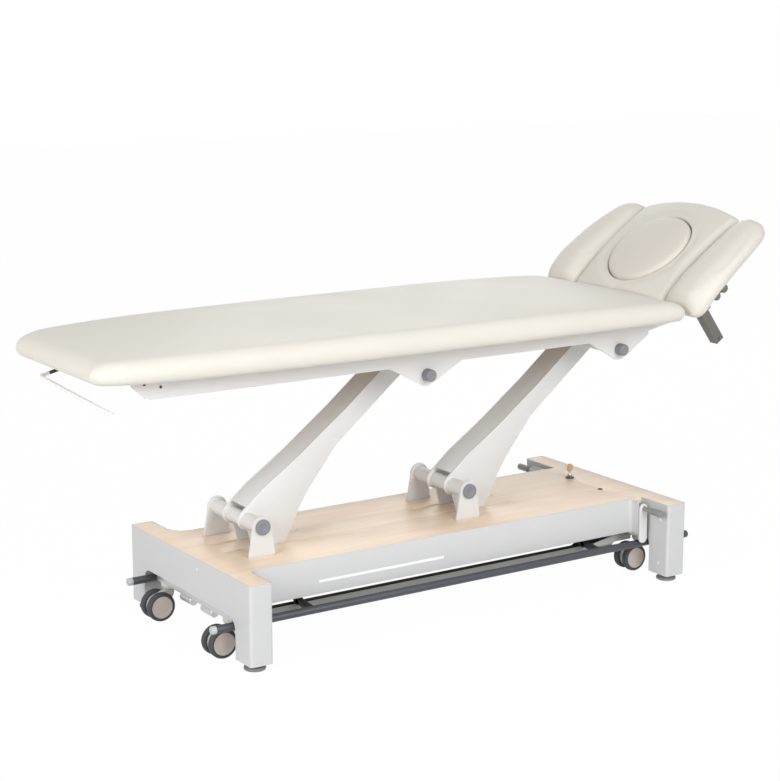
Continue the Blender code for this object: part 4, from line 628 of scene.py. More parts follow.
neck_profile = (
    (0.0800, 0.0), (0.0800, 0.0128), (0.0815, 0.0150), (0.0840, 0.0180), (0.0862, 0.0195), (0.0890, 0.0202),
    (0.0955, 0.0207), (0.0970, 0.0204), (0.0977, 0.0196), (0.0977, 0.0055), (0.1115, 0.0055), (0.1115, 0.0),
)
for end, stem_x in castor_stems.items():
    axle = (stem_x - axle_back, axle_high)
    for side, sign in sides.items():
        mid = castor_y * sign
        tag = f"{end}_{side}"
        wheels, fork = f"castor_wheels_{tag}", f"castor_fork_{tag}"
        tread, hub = bmesh.new(), bmesh.new()
        for wheel in (-1, 1):
            turned("Y", axle, [(mid + wheel * y, r) for y, r in tread_profile], 56, tread)
            turned("Y", axle, [(mid + wheel * y, r) for y, r in hub_profile], 56, hub)
        turned("Y", axle, [(mid + y, r) for y, r in axle_profile], 24, hub)
        fitted(f"castor_tread_{tag}", tread, tread_rubber, wheels, wheels)
        fitted(f"castor_hub_{tag}", hub, hub_plastic, wheels)
        shape = turned("Z", (stem_x, mid), neck_profile, 44)
        fitted(f"castor_neck_{tag}", shape, neck_plastic, fork, fork)
        shape = linked("Y", mid - 0.0064, mid + 0.0064, axle, (stem_x, 0.0720), 0.0290, 0.0118, 48)
        rounded_rims(shape, "Y", 0.0012)
        fitted(f"castor_web_{tag}", shape, neck_plastic, fork)


# Castor lift: cross beams that carry the castors, pushed down by cams on two shafts tied by a flat rod.
# The foot beam has a short zinc tube hung under it at each side. The head shaft has a pedal arm at each side
# with a bright rod to stand on.
rod_coat = coated("rod_black_coat", (0.045, 0.045, 0.048), (0.070, 0.070, 0.074), 0.40, 0.52, 1000.0, 0.10)
for end in both_ends:
    eased(f"castor_beam_{end}", zinc, f"castor_beam_{end}", 0.0008)
strap_y, strap_high, strap_size = 0.0550, 0.0955, (0.0060, 0.0160, 0.0180)
tube_high, tube_profile = 0.0830, (
    (0.0260, 0.0), (0.0260, 0.0060), (0.0268, 0.0060), (0.0268, 0.0105), (0.0280, 0.0118), (0.0820, 0.0118),
    (0.0832, 0.0106), (0.0832, 0.0),
)
for side, sign in sides.items():
    shape = turned("Y", (castor_stems["foot"], tube_high), [(sign * y, r) for y, r in tube_profile], 32)
    block(shape, (castor_stems["foot"], sign * strap_y, strap_high), strap_size)
    fitted(f"castor_tube_{side}", shape, zinc, "castor_beam_foot")
eased("cam_shaft_foot", zinc, "cam_foot", 0.0006)
eased("castor_push_rod", rod_coat, "push_rod", 0.0006)
shape = bmesh.new()
shape.from_mesh(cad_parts["pedal_shaft"].data)
bmesh.ops.remove_doubles(shape, verts=shape.verts, dist=0.00002)
pedal_x = 0.5955
shaft, tail, step = (pedal_x, 0.122), (pedal_x, 0.113), (pedal_x, 0.197)
plate_in, plate_out, rod_end, shaft_cut, shaft_lap = 0.2365, 0.2425, 0.3140, 0.2110, 0.0020
for sign in sides.values():
    opened = bmesh.ops.bisect_plane(
        shape, geom=shape.verts[:] + shape.edges[:] + shape.faces[:], plane_co=(0.0, sign * shaft_cut, 0.0),
        plane_no=(0.0, sign, 0.0), clear_outer=True,
    )
    bmesh.ops.holes_fill(shape, edges=[g for g in opened["geom_cut"] if isinstance(g, bmesh.types.BMEdge)])
    near, far = sign * (shaft_cut - shaft_lap), sign * (plate_out - shaft_lap)
    turned("Y", shaft, [(near, 0.0), (near, 0.0081), (far, 0.0081), (far, 0.0)], 32, shape)
fitted("pedal_shaft_skin", shape, zinc, "pedal", "pedal_shaft", 30.0)
pedal_steel = coated("pedal_rod_steel", (0.34, 0.34, 0.335), (0.44, 0.44, 0.43), 0.30, 0.42, 700.0, 0.05, metallic=0.7)
grip_plastic = coated("pedal_grip_plastic", (0.230, 0.232, 0.220), (0.285, 0.288, 0.272), 0.42, 0.55, 1400.0, 0.12)
for side, sign in sides.items():
    for name, finish, slot, start, stop, radius in (
        ("pedal_rod", pedal_steel, "zinc_steel", plate_out - 0.0010, rod_end - 0.0440, 0.0068),
        ("pedal_grip", grip_plastic, "dark_steel", rod_end - 0.0460, rod_end, 0.0092),
    ):
        profile = (
            (start, 0.0), (start, radius - 0.0006), (start + 0.0006, radius), (stop - 0.0016, radius),
            (stop - 0.0004, radius - 0.0008), (stop, radius - 0.0022), (stop, 0.0),
        )
        shape = turned("Y", step, [(sign * y, r) for y, r in profile], 36)
        fitted(f"{name}_{side}", shape, finish, "pedal")
    low, high = sorted((sign * plate_in, sign * plate_out))
    shape = linked("Y", low, high, tail, step, 0.0130, 0.0130, 36)
    rounded_rims(shape, "Y", 0.0012)
    fitted(f"pedal_plate_{side}", shape, light_coat, "pedal")


# Castor ties: a folded channel along each side joins the castor beams, open above, in a thin grey coat. Its floor and
# back wall are painted near black as painted shade inside it. Its front wall rises to the beam in a wedge at the head
# end and in a hook at the foot end.
# The wedge is painted lighter as painted light on its lit face, and a near black sheet behind it is painted shade for
# its shadowed face.
tie_coat = coated("tie_grey_coat", (0.270, 0.275, 0.245), (0.335, 0.340, 0.310), 0.42, 0.55, 900.0, 0.10)
# The channel coat painted lighter: painted light on the wedge's lit face.
tie_painted_lit = coated("tie_coat_painted_lit", (0.56, 0.57, 0.53), (0.63, 0.64, 0.60), 0.42, 0.55, 900.0, 0.10)
# The channel coat painted near black: painted shade inside the channel and on the wedge's shadowed face.
tie_painted_shade = coated("tie_inside_painted_shade", (0.022, 0.022, 0.020), (0.036, 0.036, 0.033), 0.55, 0.65, 1200.0, 0.12)
tie_low, tie_top, tie_foot, tie_head = 0.0700, 0.0890, -0.553, 0.569
tie_front, tie_back, tie_sheet = 0.1450, 0.1230, 0.0020
tie_inside, tie_lap, tie_rim, beam_low = tie_front - tie_sheet, tie_top - 0.010, tie_top - 0.0006, 0.1042


def tie_wall(high):
    return [(tie_foot, tie_low), (tie_head, tie_low), (tie_head, high), (tie_foot, high)]


wedge = [(0.440, tie_lap), (tie_head, tie_lap), (0.5740, 0.0835), (0.6330, 0.0835)]
wedge += [(0.6330, beam_low), (0.5800, beam_low)]
# A near black sheet behind the wedge, no part of the channel: painted shade for the wedge's shadowed face.
painted_shade_sheet = [(0.440, tie_rim), (tie_head, tie_rim), (0.5900, 0.0960), (0.5900, beam_low), (0.470, beam_low)]
hook = [(tie_foot, tie_lap), (-0.575, 0.0960), (-0.575, beam_low), (-0.5595, beam_low), (-0.520, tie_lap)]
for side, sign in sides.items():
    for name, finish, line, first, second in (
        ("castor_tie", tie_coat, tie_wall(tie_top), tie_inside, tie_front),
        ("castor_tie_floor", tie_painted_shade, tie_wall(tie_low + tie_sheet), tie_back, tie_inside),
        ("castor_tie_back", tie_painted_shade, tie_wall(tie_rim), tie_back - tie_sheet, tie_back),
        ("castor_tie_wedge", tie_painted_lit, wedge, tie_front, tie_front + tie_sheet),
        ("castor_tie_shade", tie_painted_shade, painted_shade_sheet, tie_back, tie_back + tie_sheet),
        ("castor_tie_hook", tie_coat, hook, tie_front, tie_front + tie_sheet),
    ):
        low, high = sorted((sign * first, sign * second))
        fitted(f"{name}_{side}", plate("Y", [line], low, high, 0.0005), finish, "castor_beam_foot")


# Lift arms: two cheeks, a web and a flange of laser-cut plate, welded round a tube at each pivot and coated.
# The shafts through the tubes end in round grey plastic caps.
arm_length, arm_deep, arm_tilt, pivot_high = 0.548, -0.043, math.radians(39.3), 0.2908
cheek_out, cheek_in, web_half, web_thick = 0.042, 0.036, 0.038, 0.004
yoke_turn, yoke_near, yoke_far, yoke_slot = -123.8, 0.1295, 0.1514, 0.0082


def on_lever(reach):
    return (reach * math.cos(math.radians(yoke_turn)), reach * math.sin(math.radians(yoke_turn)))


def on_arm(pivot, line):
    """Turns a line of the arm to the tilt that it has at rest."""
    cos, sin = math.cos(arm_tilt), math.sin(arm_tilt)
    return [(pivot + u * cos - v * sin, pivot_high + u * sin + v * cos) for u, v in line]


tip_at = on_lever((yoke_near + yoke_far) / 2)
cheek_line = [(0.078, 0.027), (0.210, 0.015), (arm_length - 0.172, 0.008), (arm_length + 0.008, 0.008)]
cheek_line += [(arm_length + 0.016, 0.0), (arm_length + 0.016, arm_deep + 0.008), (arm_length + 0.008, arm_deep)]
cheek_line += [(0.300, arm_deep), (0.234, -0.057), (0.166, -0.072), (0.119, -0.088), (0.081, -0.107), (0.039, -0.123)]
cheek_line += [(0.0, -0.138)] + arc_points(tip_at, 0.02665, yoke_turn + 50.0, yoke_turn - 70.0, 12)
cheek_line += [(-0.055, -0.092), (-0.0345, -0.0674)] + arc_points((0.0, 0.0), 0.026, 235.0, 95.0, 16)
slot_line = arc_points(on_lever(yoke_far), yoke_slot, yoke_turn - 90.0, yoke_turn + 90.0, 10)
slot_line += arc_points(on_lever(yoke_near), yoke_slot, yoke_turn + 90.0, yoke_turn + 270.0, 10)
web_line = [(0.020, 0.0262), (0.078, 0.0267), (0.210, 0.0147)]
web_line += [(arm_length - 0.172, 0.0077), (arm_length - 0.010, 0.0077)]
web_line += [(u, v - web_thick) for u, v in web_line[::-1]]
flange_line = [(0.300, arm_deep + 0.0003), (arm_length - 0.010, arm_deep + 0.0003)]
flange_line += [(u, v + web_thick) for u, v in flange_line[::-1]]
for end, pivot in arm_pivots.items():
    cheek = [on_arm(pivot, cheek_line), on_arm(pivot, slot_line)]
    shape = plate("Y", cheek, cheek_in, cheek_out, 0.0012)
    plate("Y", cheek, -cheek_out, -cheek_in, 0.0012, shape)
    for line in (web_line, flange_line):
        plate("Y", [on_arm(pivot, line)], -web_half, web_half, 0.0002, shape)
    for run, radius, bore, reach in ((0.0, 0.0190, 0.0123, 0.1115), (arm_length, 0.0158, 0.0103, 0.1985)):
        half = [(reach - 0.0008, radius), (reach, radius - 0.0008), (reach, bore)]
        profile = [(-y, r) for y, r in half[::-1]] + half + [(-reach, bore)]
        turned("Y", on_arm(pivot, [(run, 0.0)])[0], profile, 48, shape)
    arm = f"lift_arm_{end}"
    fitted(arm + "_skin", shape, light_coat, f"arm_{end}", arm)
cap_plastic = coated("cap_grey_plastic", (0.215, 0.217, 0.240), (0.262, 0.264, 0.288), 0.42, 0.54, 1400.0, 0.12)
upper_run, upper_rise = 0.42406, 0.34709
for end, pivot in arm_pivots.items():
    lower, upper = (pivot, pivot_high), (pivot + upper_run, pivot_high + upper_rise)
    for name, body, centre, shaft_radius, cap_radius, inside, face, lip in (
        (f"pivot_shaft_{end}", "base", lower, 0.0120, 0.0195, 0.1193, 0.1260, 0.0020),
        (f"upper_shaft_{end}", "top_frame", upper, 0.0100, 0.0155, 0.2053, 0.2280, 0.0026),
    ):
        half = [
            (inside, shaft_radius), (inside, cap_radius - 0.0004), (inside + 0.0004, cap_radius),
            (face - lip, cap_radius), (face - lip * 0.55, cap_radius - lip * 0.18),
            (face - lip * 0.18, cap_radius - lip * 0.55), (face, cap_radius - lip), (face, cap_radius * 0.55),
            (face - 0.0006, cap_radius * 0.50), (face - 0.0006, 0.0),
        ]
        shape = turned("Y", centre, [(-y, r) for y, r in half[::-1]] + half, 56)
        fitted(f"capped_{name}", shape, cap_plastic, body, name)


# Top frame: two folded side rails with gussets down to the upper pivots, two cross members, and the plywood
# board that the cushion is glued to. Small dark screws hold the rails to the board.
for side in sides:
    eased(f"side_rail_{side}", light_coat, "top_frame", 0.0010)
for end in both_ends:
    eased(f"frame_cross_{end}", light_coat, "top_frame", 0.0012)
ply = wooden("plain_plywood", (0.50, 0.37, 0.24), (0.62, 0.48, 0.33), (0.40, 0.28, 0.17), 0.55, 0.70)
eased("main_board", ply, "top_frame", 0.0006)
rail_face, screw_spots = 0.2050, ((-0.8666, 0.7005), (-0.8254, 0.6906))
screw_profile = (
    (-0.0010, 0.0), (-0.0010, 0.0034), (0.0005, 0.0034), (0.0014, 0.0026), (0.0016, 0.0018), (0.0008, 0.0015),
    (0.0008, 0.0),
)
for side, sign in sides.items():
    for number, spot in enumerate(screw_spots):
        shape = turned("Y", spot, [(sign * (rail_face + y), r) for y, r in screw_profile], 24)
        fitted(f"rail_screw_{side}_{number}", shape, dark_steel, "top_frame")


# Paper roll rod: one bent steel rod under the foot end. The part that takes the roll is coated white,
# and the leg that goes to the frame under the cushion is given dark steel, which is painted shade.
rod_white = coated("rod_white_coat", (0.88, 0.88, 0.88), (0.92, 0.92, 0.92), 0.34, 0.44, 1200.0, 0.05)
leg_y, tip = 0.1942, (-0.989, -0.310, 0.662)
bend = [(-0.854, leg_y, 0.683), (-0.917, leg_y, 0.669), (-0.947, leg_y - 0.004, 0.663), (-0.9525, leg_y - 0.018, 0.662)]
for name, finish, slot, node, radius, path in (
    # The leg is given dark steel in place of the white coat: painted shade under the cushion.
    ("paper_rod_leg", dark_steel, "dark_steel", None, 0.0044, bend[:3]),
    ("paper_rod", rod_white, "white_coat", "paper_roll_holder", 0.0045, bend[1:] + [tip]),
):
    curve = bpy.data.curves.new(name, "CURVE")
    curve.dimensions, curve.use_fill_caps = "3D", True
    curve.bevel_depth, curve.bevel_resolution = radius, 5
    line = curve.splines.new("POLY")
    soft = [Vector(p) for p in path]
    for _ in range(3):
        cut = [soft[0]]
        for a, b in zip(soft, soft[1:]):
            cut += [a.lerp(b, 0.25), a.lerp(b, 0.75)]
        soft = cut + [soft[-1]]
    line.points.add(len(soft) - 1)
    for spot, value in zip(line.points, soft):
        spot.co = (*value, 1.0)
    bent = placed(name, curve)
    bpy.context.view_layer.update()
    data = bpy.data.meshes.new_from_object(bent.evaluated_get(bpy.context.evaluated_depsgraph_get()))
    bpy.data.objects.remove(bent)
    shape = bmesh.new()
    shape.from_mesh(data)
    bmesh.ops.remove_doubles(shape, verts=shape.verts, dist=0.00001)
    bmesh.ops.recalc_face_normals(shape, faces=shape.faces)
    fitted(name, shape, finish, "top_frame", node, 50.0)


# Main cushion: foam on the board under one stretched cream vinyl cover, bowed in plan and rounded at its edges.
# The cover is drawn round and stapled below, so the foam swells a little between the edges and there is no seam.
vinyl_grain, spots, _, results = texture_group("vinyl_grain", (), ("Tone", "Height"))
pebble = shader_node(vinyl_grain, "ShaderNodeTexVoronoi", {"feature": "SMOOTH_F1"}, Scale=620.0, Smoothness=0.6)
drift = shader_node(vinyl_grain, "ShaderNodeTexNoise", Scale=4.5, Detail=2.0, Roughness=0.5)
uneven = shader_node(vinyl_grain, "ShaderNodeTexNoise", Scale=9.0, Detail=1.0, Roughness=0.4)
fine = shader_node(vinyl_grain, "ShaderNodeMath", {"operation": "MULTIPLY"})
fine.inputs[1].default_value = 0.012
both = shader_node(vinyl_grain, "ShaderNodeMath", {"operation": "ADD"})
wire(
    vinyl_grain, (spots, pebble.inputs["Vector"]), (spots, drift.inputs["Vector"]), (spots, uneven.inputs["Vector"]),
    (pebble.outputs["Distance"], fine.inputs[0]), (fine.outputs[0], both.inputs[0]),
    (uneven.outputs["Fac"], both.inputs[1]), (both.outputs[0], results["Height"]),
    (drift.outputs["Fac"], results["Tone"]),
)


def upholstered(name, deep, pale, smooth, rough):
    """Cover vinyl: a fine pebble grain and slow unevenness of the foam under it."""
    made, tree = new_finish(name)
    grain = shader_node(tree, "ShaderNodeGroup", {"node_tree": vinyl_grain})
    drift = grain.outputs["Tone"]
    tone = two_tone(tree, drift, deep, pale)
    shader = surfaced(tree, tone.outputs[2], drift, smooth, rough, grain.outputs["Height"], 0.30, 0.010)
    shader.inputs["Specular IOR Level"].default_value = 0.38
    return made


cream_vinyl = upholstered("cream_vinyl", (0.725, 0.690, 0.615), (0.765, 0.732, 0.660), 0.44, 0.54)


def smooth_reading(table, value):
    """Reads a table of pairs along a curve that doesn't overshoot its values."""
    slopes = [(y1 - y0) / (x1 - x0) for (x0, y0), (x1, y1) in zip(table, table[1:])]
    value = min(max(value, table[0][0]), table[-1][0])
    spot = 0
    while spot < len(slopes) - 1 and value > table[spot + 1][0]:
        spot += 1
    ends = []
    for k in (spot, spot + 1):
        if k in (0, len(slopes)):
            ends.append(slopes[min(k, len(slopes) - 1)])
        elif slopes[k - 1] * slopes[k] <= 0.0:
            ends.append(0.0)
        else:
            ends.append(2.0 * slopes[k - 1] * slopes[k] / (slopes[k - 1] + slopes[k]))
    (x0, y0), (x1, y1) = table[spot], table[spot + 1]
    wide = x1 - x0
    t = (value - x0) / wide
    return (
        y0 * (1 + 2 * t) * (1 - t) ** 2 + wide * ends[0] * t * (1 - t) ** 2
        + y1 * t * t * (3 - 2 * t) + wide * ends[1] * t * t * (t - 1)
    )


def nearest_edge(spots, outline):
    """Distance in plan from each spot to a closed outline."""
    first = np.array(outline)
    step = np.roll(first, -1, axis=0) - first
    long = np.maximum((step ** 2).sum(axis=1), 1e-18)
    result = []
    for spot in spots:
        away = np.array(spot) - first
        share = np.clip((away * step).sum(axis=1) / long, 0.0, 1.0)
        result.append(float(np.sqrt(((away - step * share[:, None]) ** 2).sum(axis=1).min())))
    return result


def arch(distance, radius):
    """Height share of a rounded edge at this distance from it."""
    return 1.0 if distance >= radius else math.sqrt(max(0.0, 1.0 - (1.0 - distance / radius) ** 2))


def pillow(rows, columns, plan, place, heights):
    """Two sheets joined at their rim. plan gives a spot for two shares, heights its level and hold."""
    shape = bmesh.new()
    hold = shape.verts.layers.float.new("hold")
    share = [0.5 - 0.5 * math.cos(math.pi * k / rows) for k in range(rows + 1)]
    across = [0.5 - 0.5 * math.cos(math.pi * k / columns) for k in range(columns + 1)]
    spots = {(i, j): plan(share[i], across[j]) for i in range(rows + 1) for j in range(columns + 1)}
    outline = [spots[i, 0] for i in range(rows)] + [spots[rows, j] for j in range(columns)]
    outline += [spots[i, columns] for i in range(rows, 0, -1)] + [spots[0, j] for j in range(columns, 0, -1)]
    inside = dict(zip(spots, nearest_edge(spots.values(), outline)))
    for upper in (True, False):
        sheet = bmesh.ops.create_grid(shape, x_segments=rows, y_segments=columns, size=1.0)["verts"]
        for vert in sheet:
            key = (round((vert.co.x + 1.0) / 2.0 * rows), round((vert.co.y + 1.0) / 2.0 * columns))
            rim = key[0] in (0, rows) or key[1] in (0, columns)
            level, firm = heights(0.0 if rim else inside[key], upper, share[key[0]], across[key[1]])
            vert.co = place(*spots[key], level)
            vert[hold] = firm
    bmesh.ops.remove_doubles(shape, verts=shape.verts, dist=0.00001)
    bmesh.ops.recalc_face_normals(shape, faces=shape.faces)
    return shape


cloth_frames, nowhere_sharp = 20, 181.0


def plumped(cushion, reach):
    """Swells a closed cover by air pressure, held where it is fixed, and keeps the result."""
    data = cushion.data
    firm = data.attributes["hold"]
    group = cushion.vertex_groups.new(name="hold")
    for k in range(len(data.vertices)):
        group.add([k], firm.data[k].value, "REPLACE")
    before = [v.co.copy() for v in data.vertices]
    cover = cushion.modifiers.new("cover", "CLOTH")
    for key, value in (
        ("quality", 5), ("mass", 0.3), ("tension_stiffness", 18.0), ("compression_stiffness", 18.0),
        ("shear_stiffness", 8.0), ("bending_stiffness", 1.5), ("use_pressure", True),
        ("uniform_pressure_force", 4.0), ("vertex_group_mass", "hold"),
    ):
        setattr(cover.settings, key, value)
    cover.settings.effector_weights.gravity = 0.0
    cover.collision_settings.use_collision = False
    cover.point_cache.frame_start, cover.point_cache.frame_end = 1, cloth_frames
    for number in range(1, cloth_frames + 1):
        scene.frame_set(number)
    swollen = cushion.evaluated_get(bpy.context.evaluated_depsgraph_get()).data
    after = [v.co.copy() for v in swollen.vertices]
    cushion.modifiers.remove(cover)
    scene.frame_set(1)
    for vert, old, new in zip(data.vertices, before, after):
        move = new - old
        if move.length > 1e-9:
            vert.co = old + move * (reach * math.tanh(move.length / reach) / move.length)
    cushion.vertex_groups.remove(group)
    data.attributes.remove(data.attributes["hold"])
    finer = cushion.modifiers.new("finer", "SUBSURF")
    finer.levels = finer.render_levels = 1


def covered(name, shape, finish, body, node, reach):
    """A cushion in its cover, which swells by no more than its reach, in place of a solid of the frame."""
    cushion = piece(name, shape, finish, body, nowhere_sharp)
    plumped(cushion, reach)
    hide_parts(node)


pad_low, pad_top, pad_middle = 0.7113, 0.7795, 0.7350
pad_foot, pad_length = -1.0048, 1.6796
pad_halves = (
    (0.0, 0.212), (0.010, 0.230), (0.032, 0.246), (0.068, 0.262), (0.127, 0.273), (0.167, 0.2785), (0.257, 0.289),
    (0.497, 0.303), (0.767, 0.313), (1.167, 0.3195), (1.267, 0.320), (1.467, 0.317), (1.605, 0.3135), (1.645, 0.3115),
    (1.665, 0.3085), (1.675, 0.3025), (1.680, 0.292),
)
pad_falls = (
    (0.0, 0.0195), (0.010, 0.0180), (0.030, 0.0145), (0.060, 0.0105), (0.120, 0.0068), (0.180, 0.0045), (0.240, 0.0030),
    (0.350, 0.0010), (0.500, 0.0),
)
pad_soft, pad_under, pad_crown = 0.028, 0.020, 0.005
board_inset, board_depth, glue_gap = 0.0296, 0.0126, 0.0002


def main_plan(along, across):
    run = along * pad_length
    return (pad_foot + run, (2.0 * across - 1.0) * smooth_reading(pad_halves, run))


def main_heights(inside, upper, along, across):
    if upper:
        fall = smooth_reading(pad_falls, min(along, 1.0 - along) * pad_length)
        top = pad_top - fall - pad_crown * (2.0 * across - 1.0) ** 2
        return pad_middle + (top - pad_middle) * arch(inside, pad_soft), 0.0
    if inside > board_inset:
        return pad_low + board_depth, 1.0
    return pad_middle + (pad_low + glue_gap - pad_middle) * arch(inside, pad_under), min(1.0, inside / 0.006)


shape = pillow(168, 64, main_plan, lambda x, y, z: Vector((x, y, z)), main_heights)
covered("main_cushion", shape, cream_vinyl, "top_frame", "main_pad", 0.0035)


# Head section: a curved plywood board on two steel hinge arms, with a square sleeve for each armrest post.
# The centre cushion is a foam ring round the face opening, covered like the main one.
eased("head_frame", dark_steel, "head_section", 0.0006)
head_turn = Matrix.Translation((0.692, 0.0, 0.700)) @ Matrix.Rotation(-math.radians(36.0), 4, "Y")
head_near, head_far, head_half, head_thick, head_bulge = 0.0102, 0.3658, 0.1885, 0.060, 0.030
head_soft, head_under, dome_high, dome_fall = 0.022, 0.010, 0.0128, 0.016
bow_middle, bow_half, bow_low, bow_rise, bow_lift = 0.198, 0.179, 0.049, 0.0208, 0.008
hole_a, hole_radius, hole_soft = 0.183, 0.1288, 0.006


def on_head(a, y, b):
    """A spot of the head section, b being measured from the bowed top of its cushions."""
    share = (a - bow_middle) / bow_half
    return head_turn @ Vector((a, y, b + bow_low + bow_rise * (1.0 - share ** 2) + bow_lift * max(0.0, share) ** 2))


def head_dome(y):
    return dome_high - dome_fall * (y / head_half) ** 2


def far_edge(y):
    return head_far + head_bulge * (1.0 - (y / head_half) ** 2)


corner = 0.020
lean = math.degrees(math.atan(2.0 * head_bulge * 0.924 / head_half))
side_y = head_half - corner * (1.0 - math.sin(math.radians(lean)))
far_corner = (
    far_edge(side_y) - corner * math.cos(math.radians(lean)), side_y - corner * math.sin(math.radians(lean)),
)
rim = arc_points(far_corner, corner, lean, 90.0, 12)
rim += arc_points((head_near + corner, head_half - corner), corner, 90.0, 180.0, 12)
rim += [(a, -y) for a, y in rim[::-1]]
rim += [(far_edge(side_y * k / 20), side_y * k / 20) for k in range(-19, 20)]
rim = [Vector(spot) for spot in rim]
outer = []
for here, there in zip(rim, rim[1:] + rim[:1]):
    parts = max(1, round((there - here).length / 0.009))
    outer += [here.lerp(there, k / parts) for k in range(parts)]
inner = []
for spot in outer:
    turn = math.atan2(spot.y, spot.x - hole_a)
    inner.append(Vector((hole_a + hole_radius * math.cos(turn), hole_radius * math.sin(turn))))
quarter = [math.radians(9.0 * k) for k in range(11)]
profile = [(head_soft * (1 - math.cos(q)), None, math.sin(q), 0.0, 0.0) for q in quarter]
profile += [(None, k / 10, 1.0, 0.0, 0.0) for k in range(1, 10)]
profile += [(-hole_soft * (1 - math.cos(q)), None, 1.0, 0.007 * (1 - math.sin(q)), 0.3) for q in quarter[::-2]]
profile += [(-0.0, None, 1.0 - 0.4 * k, 0.007 - 0.002 * k, 1.0) for k in range(1, 6)]
profile += [(-0.002, None, -1.0, 0.0, 1.0)] + [(None, 1.0 - k / 10, -1.0, 0.0, 1.0) for k in range(1, 10)]
profile += [(head_under * (1 - math.cos(q)), None, -math.sin(q), 0.0, 0.5) for q in quarter[:0:-1]]
shape = bmesh.new()
hold = shape.verts.layers.float.new("hold")
for vert in bmesh.ops.create_grid(shape, x_segments=len(outer), y_segments=len(profile), size=1.0)["verts"]:
    i = round((vert.co.x + 1.0) / 2.0 * len(outer)) % len(outer)
    inset, share, up, drop, firm = profile[round((vert.co.y + 1.0) / 2.0 * len(profile)) % len(profile)]
    across = outer[i] - inner[i]
    if share is not None:
        back = head_soft + (across.length - head_soft - hole_soft) * share
    elif math.copysign(1.0, inset) > 0.0:
        back = inset
    else:
        back = across.length + inset
    spot = outer[i] - across.normalized() * back
    middle = -0.45 * head_thick
    limit = head_dome(spot.y) if up > 0.0 else glue_gap - head_thick
    vert.co = on_head(spot.x, spot.y, middle + (limit - middle) * abs(up) - drop)
    vert[hold] = firm
bmesh.ops.remove_doubles(shape, verts=shape.verts, dist=0.00001)
bmesh.ops.recalc_face_normals(shape, faces=shape.faces)
covered("head_cushion", shape, cream_vinyl, "head_section", "head_pad", 0.0025)


# Face plug: a loose round cushion that fills the face opening and lifts out, in the same vinyl, a shade darker and a
# little warmer:
# partly its own tint, partly painted shade for the way it faces the light. Its crown stands a little over the cushion
# round it.
# The cover vinyl made darker and warmer: partly the plug's own tint, partly painted shade.
plug_vinyl_tint_and_shade = upholstered("plug_vinyl_tint_and_shade", (0.705, 0.660, 0.590), (0.742, 0.698, 0.628), 0.46, 0.56)
seat, plug_radius = -0.0594, 0.1262
plug_profile = [(share, seat) for share in (0.0, 0.30, 0.60, 0.86, 0.965)] + [(0.990, seat + 0.002)]
plug_profile += [(1.0, seat + 0.006 + 0.006 * k) for k in range(7)]
plug_profile += [(1.0, -0.0140), (0.997, -0.0100), (0.990, -0.0066), (0.980, -0.0036), (0.965, -0.0010)]
plug_profile += [(0.945, 0.0008), (0.91, 0.0022), (0.86, 0.0030), (0.75, 0.0036), (0.60, 0.0040)]
plug_profile += [(share, 0.0042) for share in (0.40, 0.20, 0.0)]
shape = turned("Z", (0.0, 0.0), [(b, r) for r, b in plug_profile], 96)
hold = shape.verts.layers.float.new("hold")
for vert in shape.verts:
    vert[hold] = 1.0 if vert.co.z < -0.008 else 0.0
    across = vert.co.y * plug_radius
    rise = head_dome(across) * min(1.0, max(0.0, (vert.co.z - seat) / 0.040))
    vert.co = on_head(hole_a + vert.co.x * plug_radius, across, vert.co.z + rise)
bmesh.ops.recalc_face_normals(shape, faces=shape.faces)
covered("face_plug_cushion", shape, plug_vinyl_tint_and_shade, "face_plug", "face_plug", 0.0015)


# Armrests: banana-shaped foam cushions beside the head cushion, each on a square steel post that slides in
# the head section. A pin across the post's end keeps it in, and two fluted plastic knobs clamp it.
rest_near, rest_length, rest_thick, rest_corner, rest_under = 0.0134, 0.3594, 0.049, 0.012, 0.022
rest_lines = (
    (0.0, 0.192, 0.310), (0.014, 0.192, 0.324), (0.040, 0.192, 0.332), (0.110, 0.192, 0.333), (0.190, 0.192, 0.329),
    (0.260, 0.192, 0.320), (0.310, 0.193, 0.307), (0.338, 0.197, 0.292), (0.354, 0.205, 0.274), (0.363, 0.218, 0.252),
)
rest_rises = ((0.0, 0.018), (0.050, 0.022), (0.100, 0.021), (0.170, 0.017), (0.270, 0.014), (0.363, 0.013))
inner_line = [(line[0], line[1]) for line in rest_lines]
outer_line = [(line[0], line[2]) for line in rest_lines]
post_coat = coated("post_brown_coat", (0.135, 0.126, 0.115), (0.175, 0.164, 0.150), 0.34, 0.46, 1000.0, 0.08)
knob_deep, flute_inside, flute_deep = 0.0385, 0.0100, 0.0007
knob_profile = (
    (0.2140, 0.0), (0.2140, 0.0039), (0.2264, 0.0039), (0.2264, 0.0078), (0.2272, 0.0087), (0.2290, 0.0108),
    (0.2305, 0.0119), (0.2325, 0.0124), (0.2400, 0.0124), (0.2426, 0.0118), (0.2444, 0.0103), (0.2452, 0.0080),
    (0.2453, 0.0045), (0.2453, 0.0),
)
knob_plastic = coated("knob_green_grey", (0.150, 0.150, 0.130), (0.190, 0.190, 0.168), 0.45, 0.58, 1400.0, 0.15)


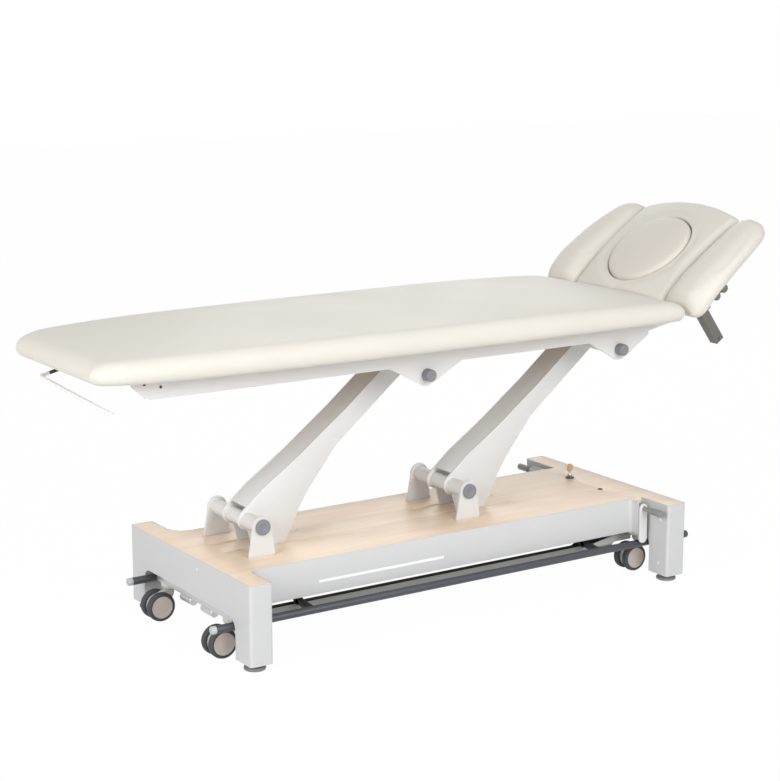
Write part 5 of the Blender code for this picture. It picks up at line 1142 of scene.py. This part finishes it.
def corner_cut(distance, radius):
    """How far a round corner stands back from its square one, at this distance from the end."""
    return 0.0 if distance >= radius else radius - math.sqrt(max(0.0, radius ** 2 - (radius - distance) ** 2))


def rest_heights(inside, upper, along, across):
    run = along * rest_lines[-1][0]
    wide = smooth_reading(outer_line, run) - smooth_reading(inner_line, run) - corner_cut(run, rest_corner)
    from_side, from_end = min(across, 1.0 - across) * wide, min(along, 1.0 - along) * rest_length
    middle = -0.42 * rest_thick
    if upper:
        top = smooth_reading(rest_rises, run) - 0.0015 - 0.008 * (2.0 * across - 1.0) ** 2
        return middle + (top - middle) * arch(from_side, 0.050) * arch(from_end, 0.045), max(0.0, 1.0 - along / 0.06)
    share = arch(from_side, rest_under) * arch(from_end, rest_under)
    return middle + (glue_gap - rest_thick - middle) * share, min(1.0, inside / 0.010)


for side, sign in sides.items():
    body = f"armrest_{side}"

    def rest_plan(along, across):
        run = along * rest_lines[-1][0]
        near = smooth_reading(inner_line, run) + corner_cut(run, rest_corner)
        far = smooth_reading(outer_line, run)
        return (rest_near + along * rest_length, sign * (near + (far - near) * across))

    shape = pillow(72, 36, rest_plan, on_head, rest_heights)
    covered(f"armrest_cushion_{side}", shape, cream_vinyl, body, f"armrest_pad_{side}", 0.0025)
    eased(f"armrest_post_{side}", post_coat, body, 0.0008)
    for word, a in (("lower", 0.150), ("upper", 0.182)):
        tag = f"{side}_{word}"
        shape = turned("Y", (a, -knob_deep), [(sign * y, r) for y, r in knob_profile], 64)
        for vert in shape.verts:
            spoke = Vector((vert.co.x - a, vert.co.z + knob_deep))
            if spoke.length > flute_inside:
                flute = flute_deep * (0.5 - 0.5 * math.cos(8.0 * math.atan2(spoke.y, spoke.x)))
                spoke *= 1.0 - flute / spoke.length
                vert.co.x, vert.co.z = a + spoke.x, spoke.y - knob_deep
        bmesh.ops.transform(shape, matrix=head_turn, verts=shape.verts)
        bmesh.ops.recalc_face_normals(shape, faces=shape.faces)
        fitted(f"fluted_knob_{tag}", shape, knob_plastic, f"knob_{tag}", f"clamp_knob_{tag}")
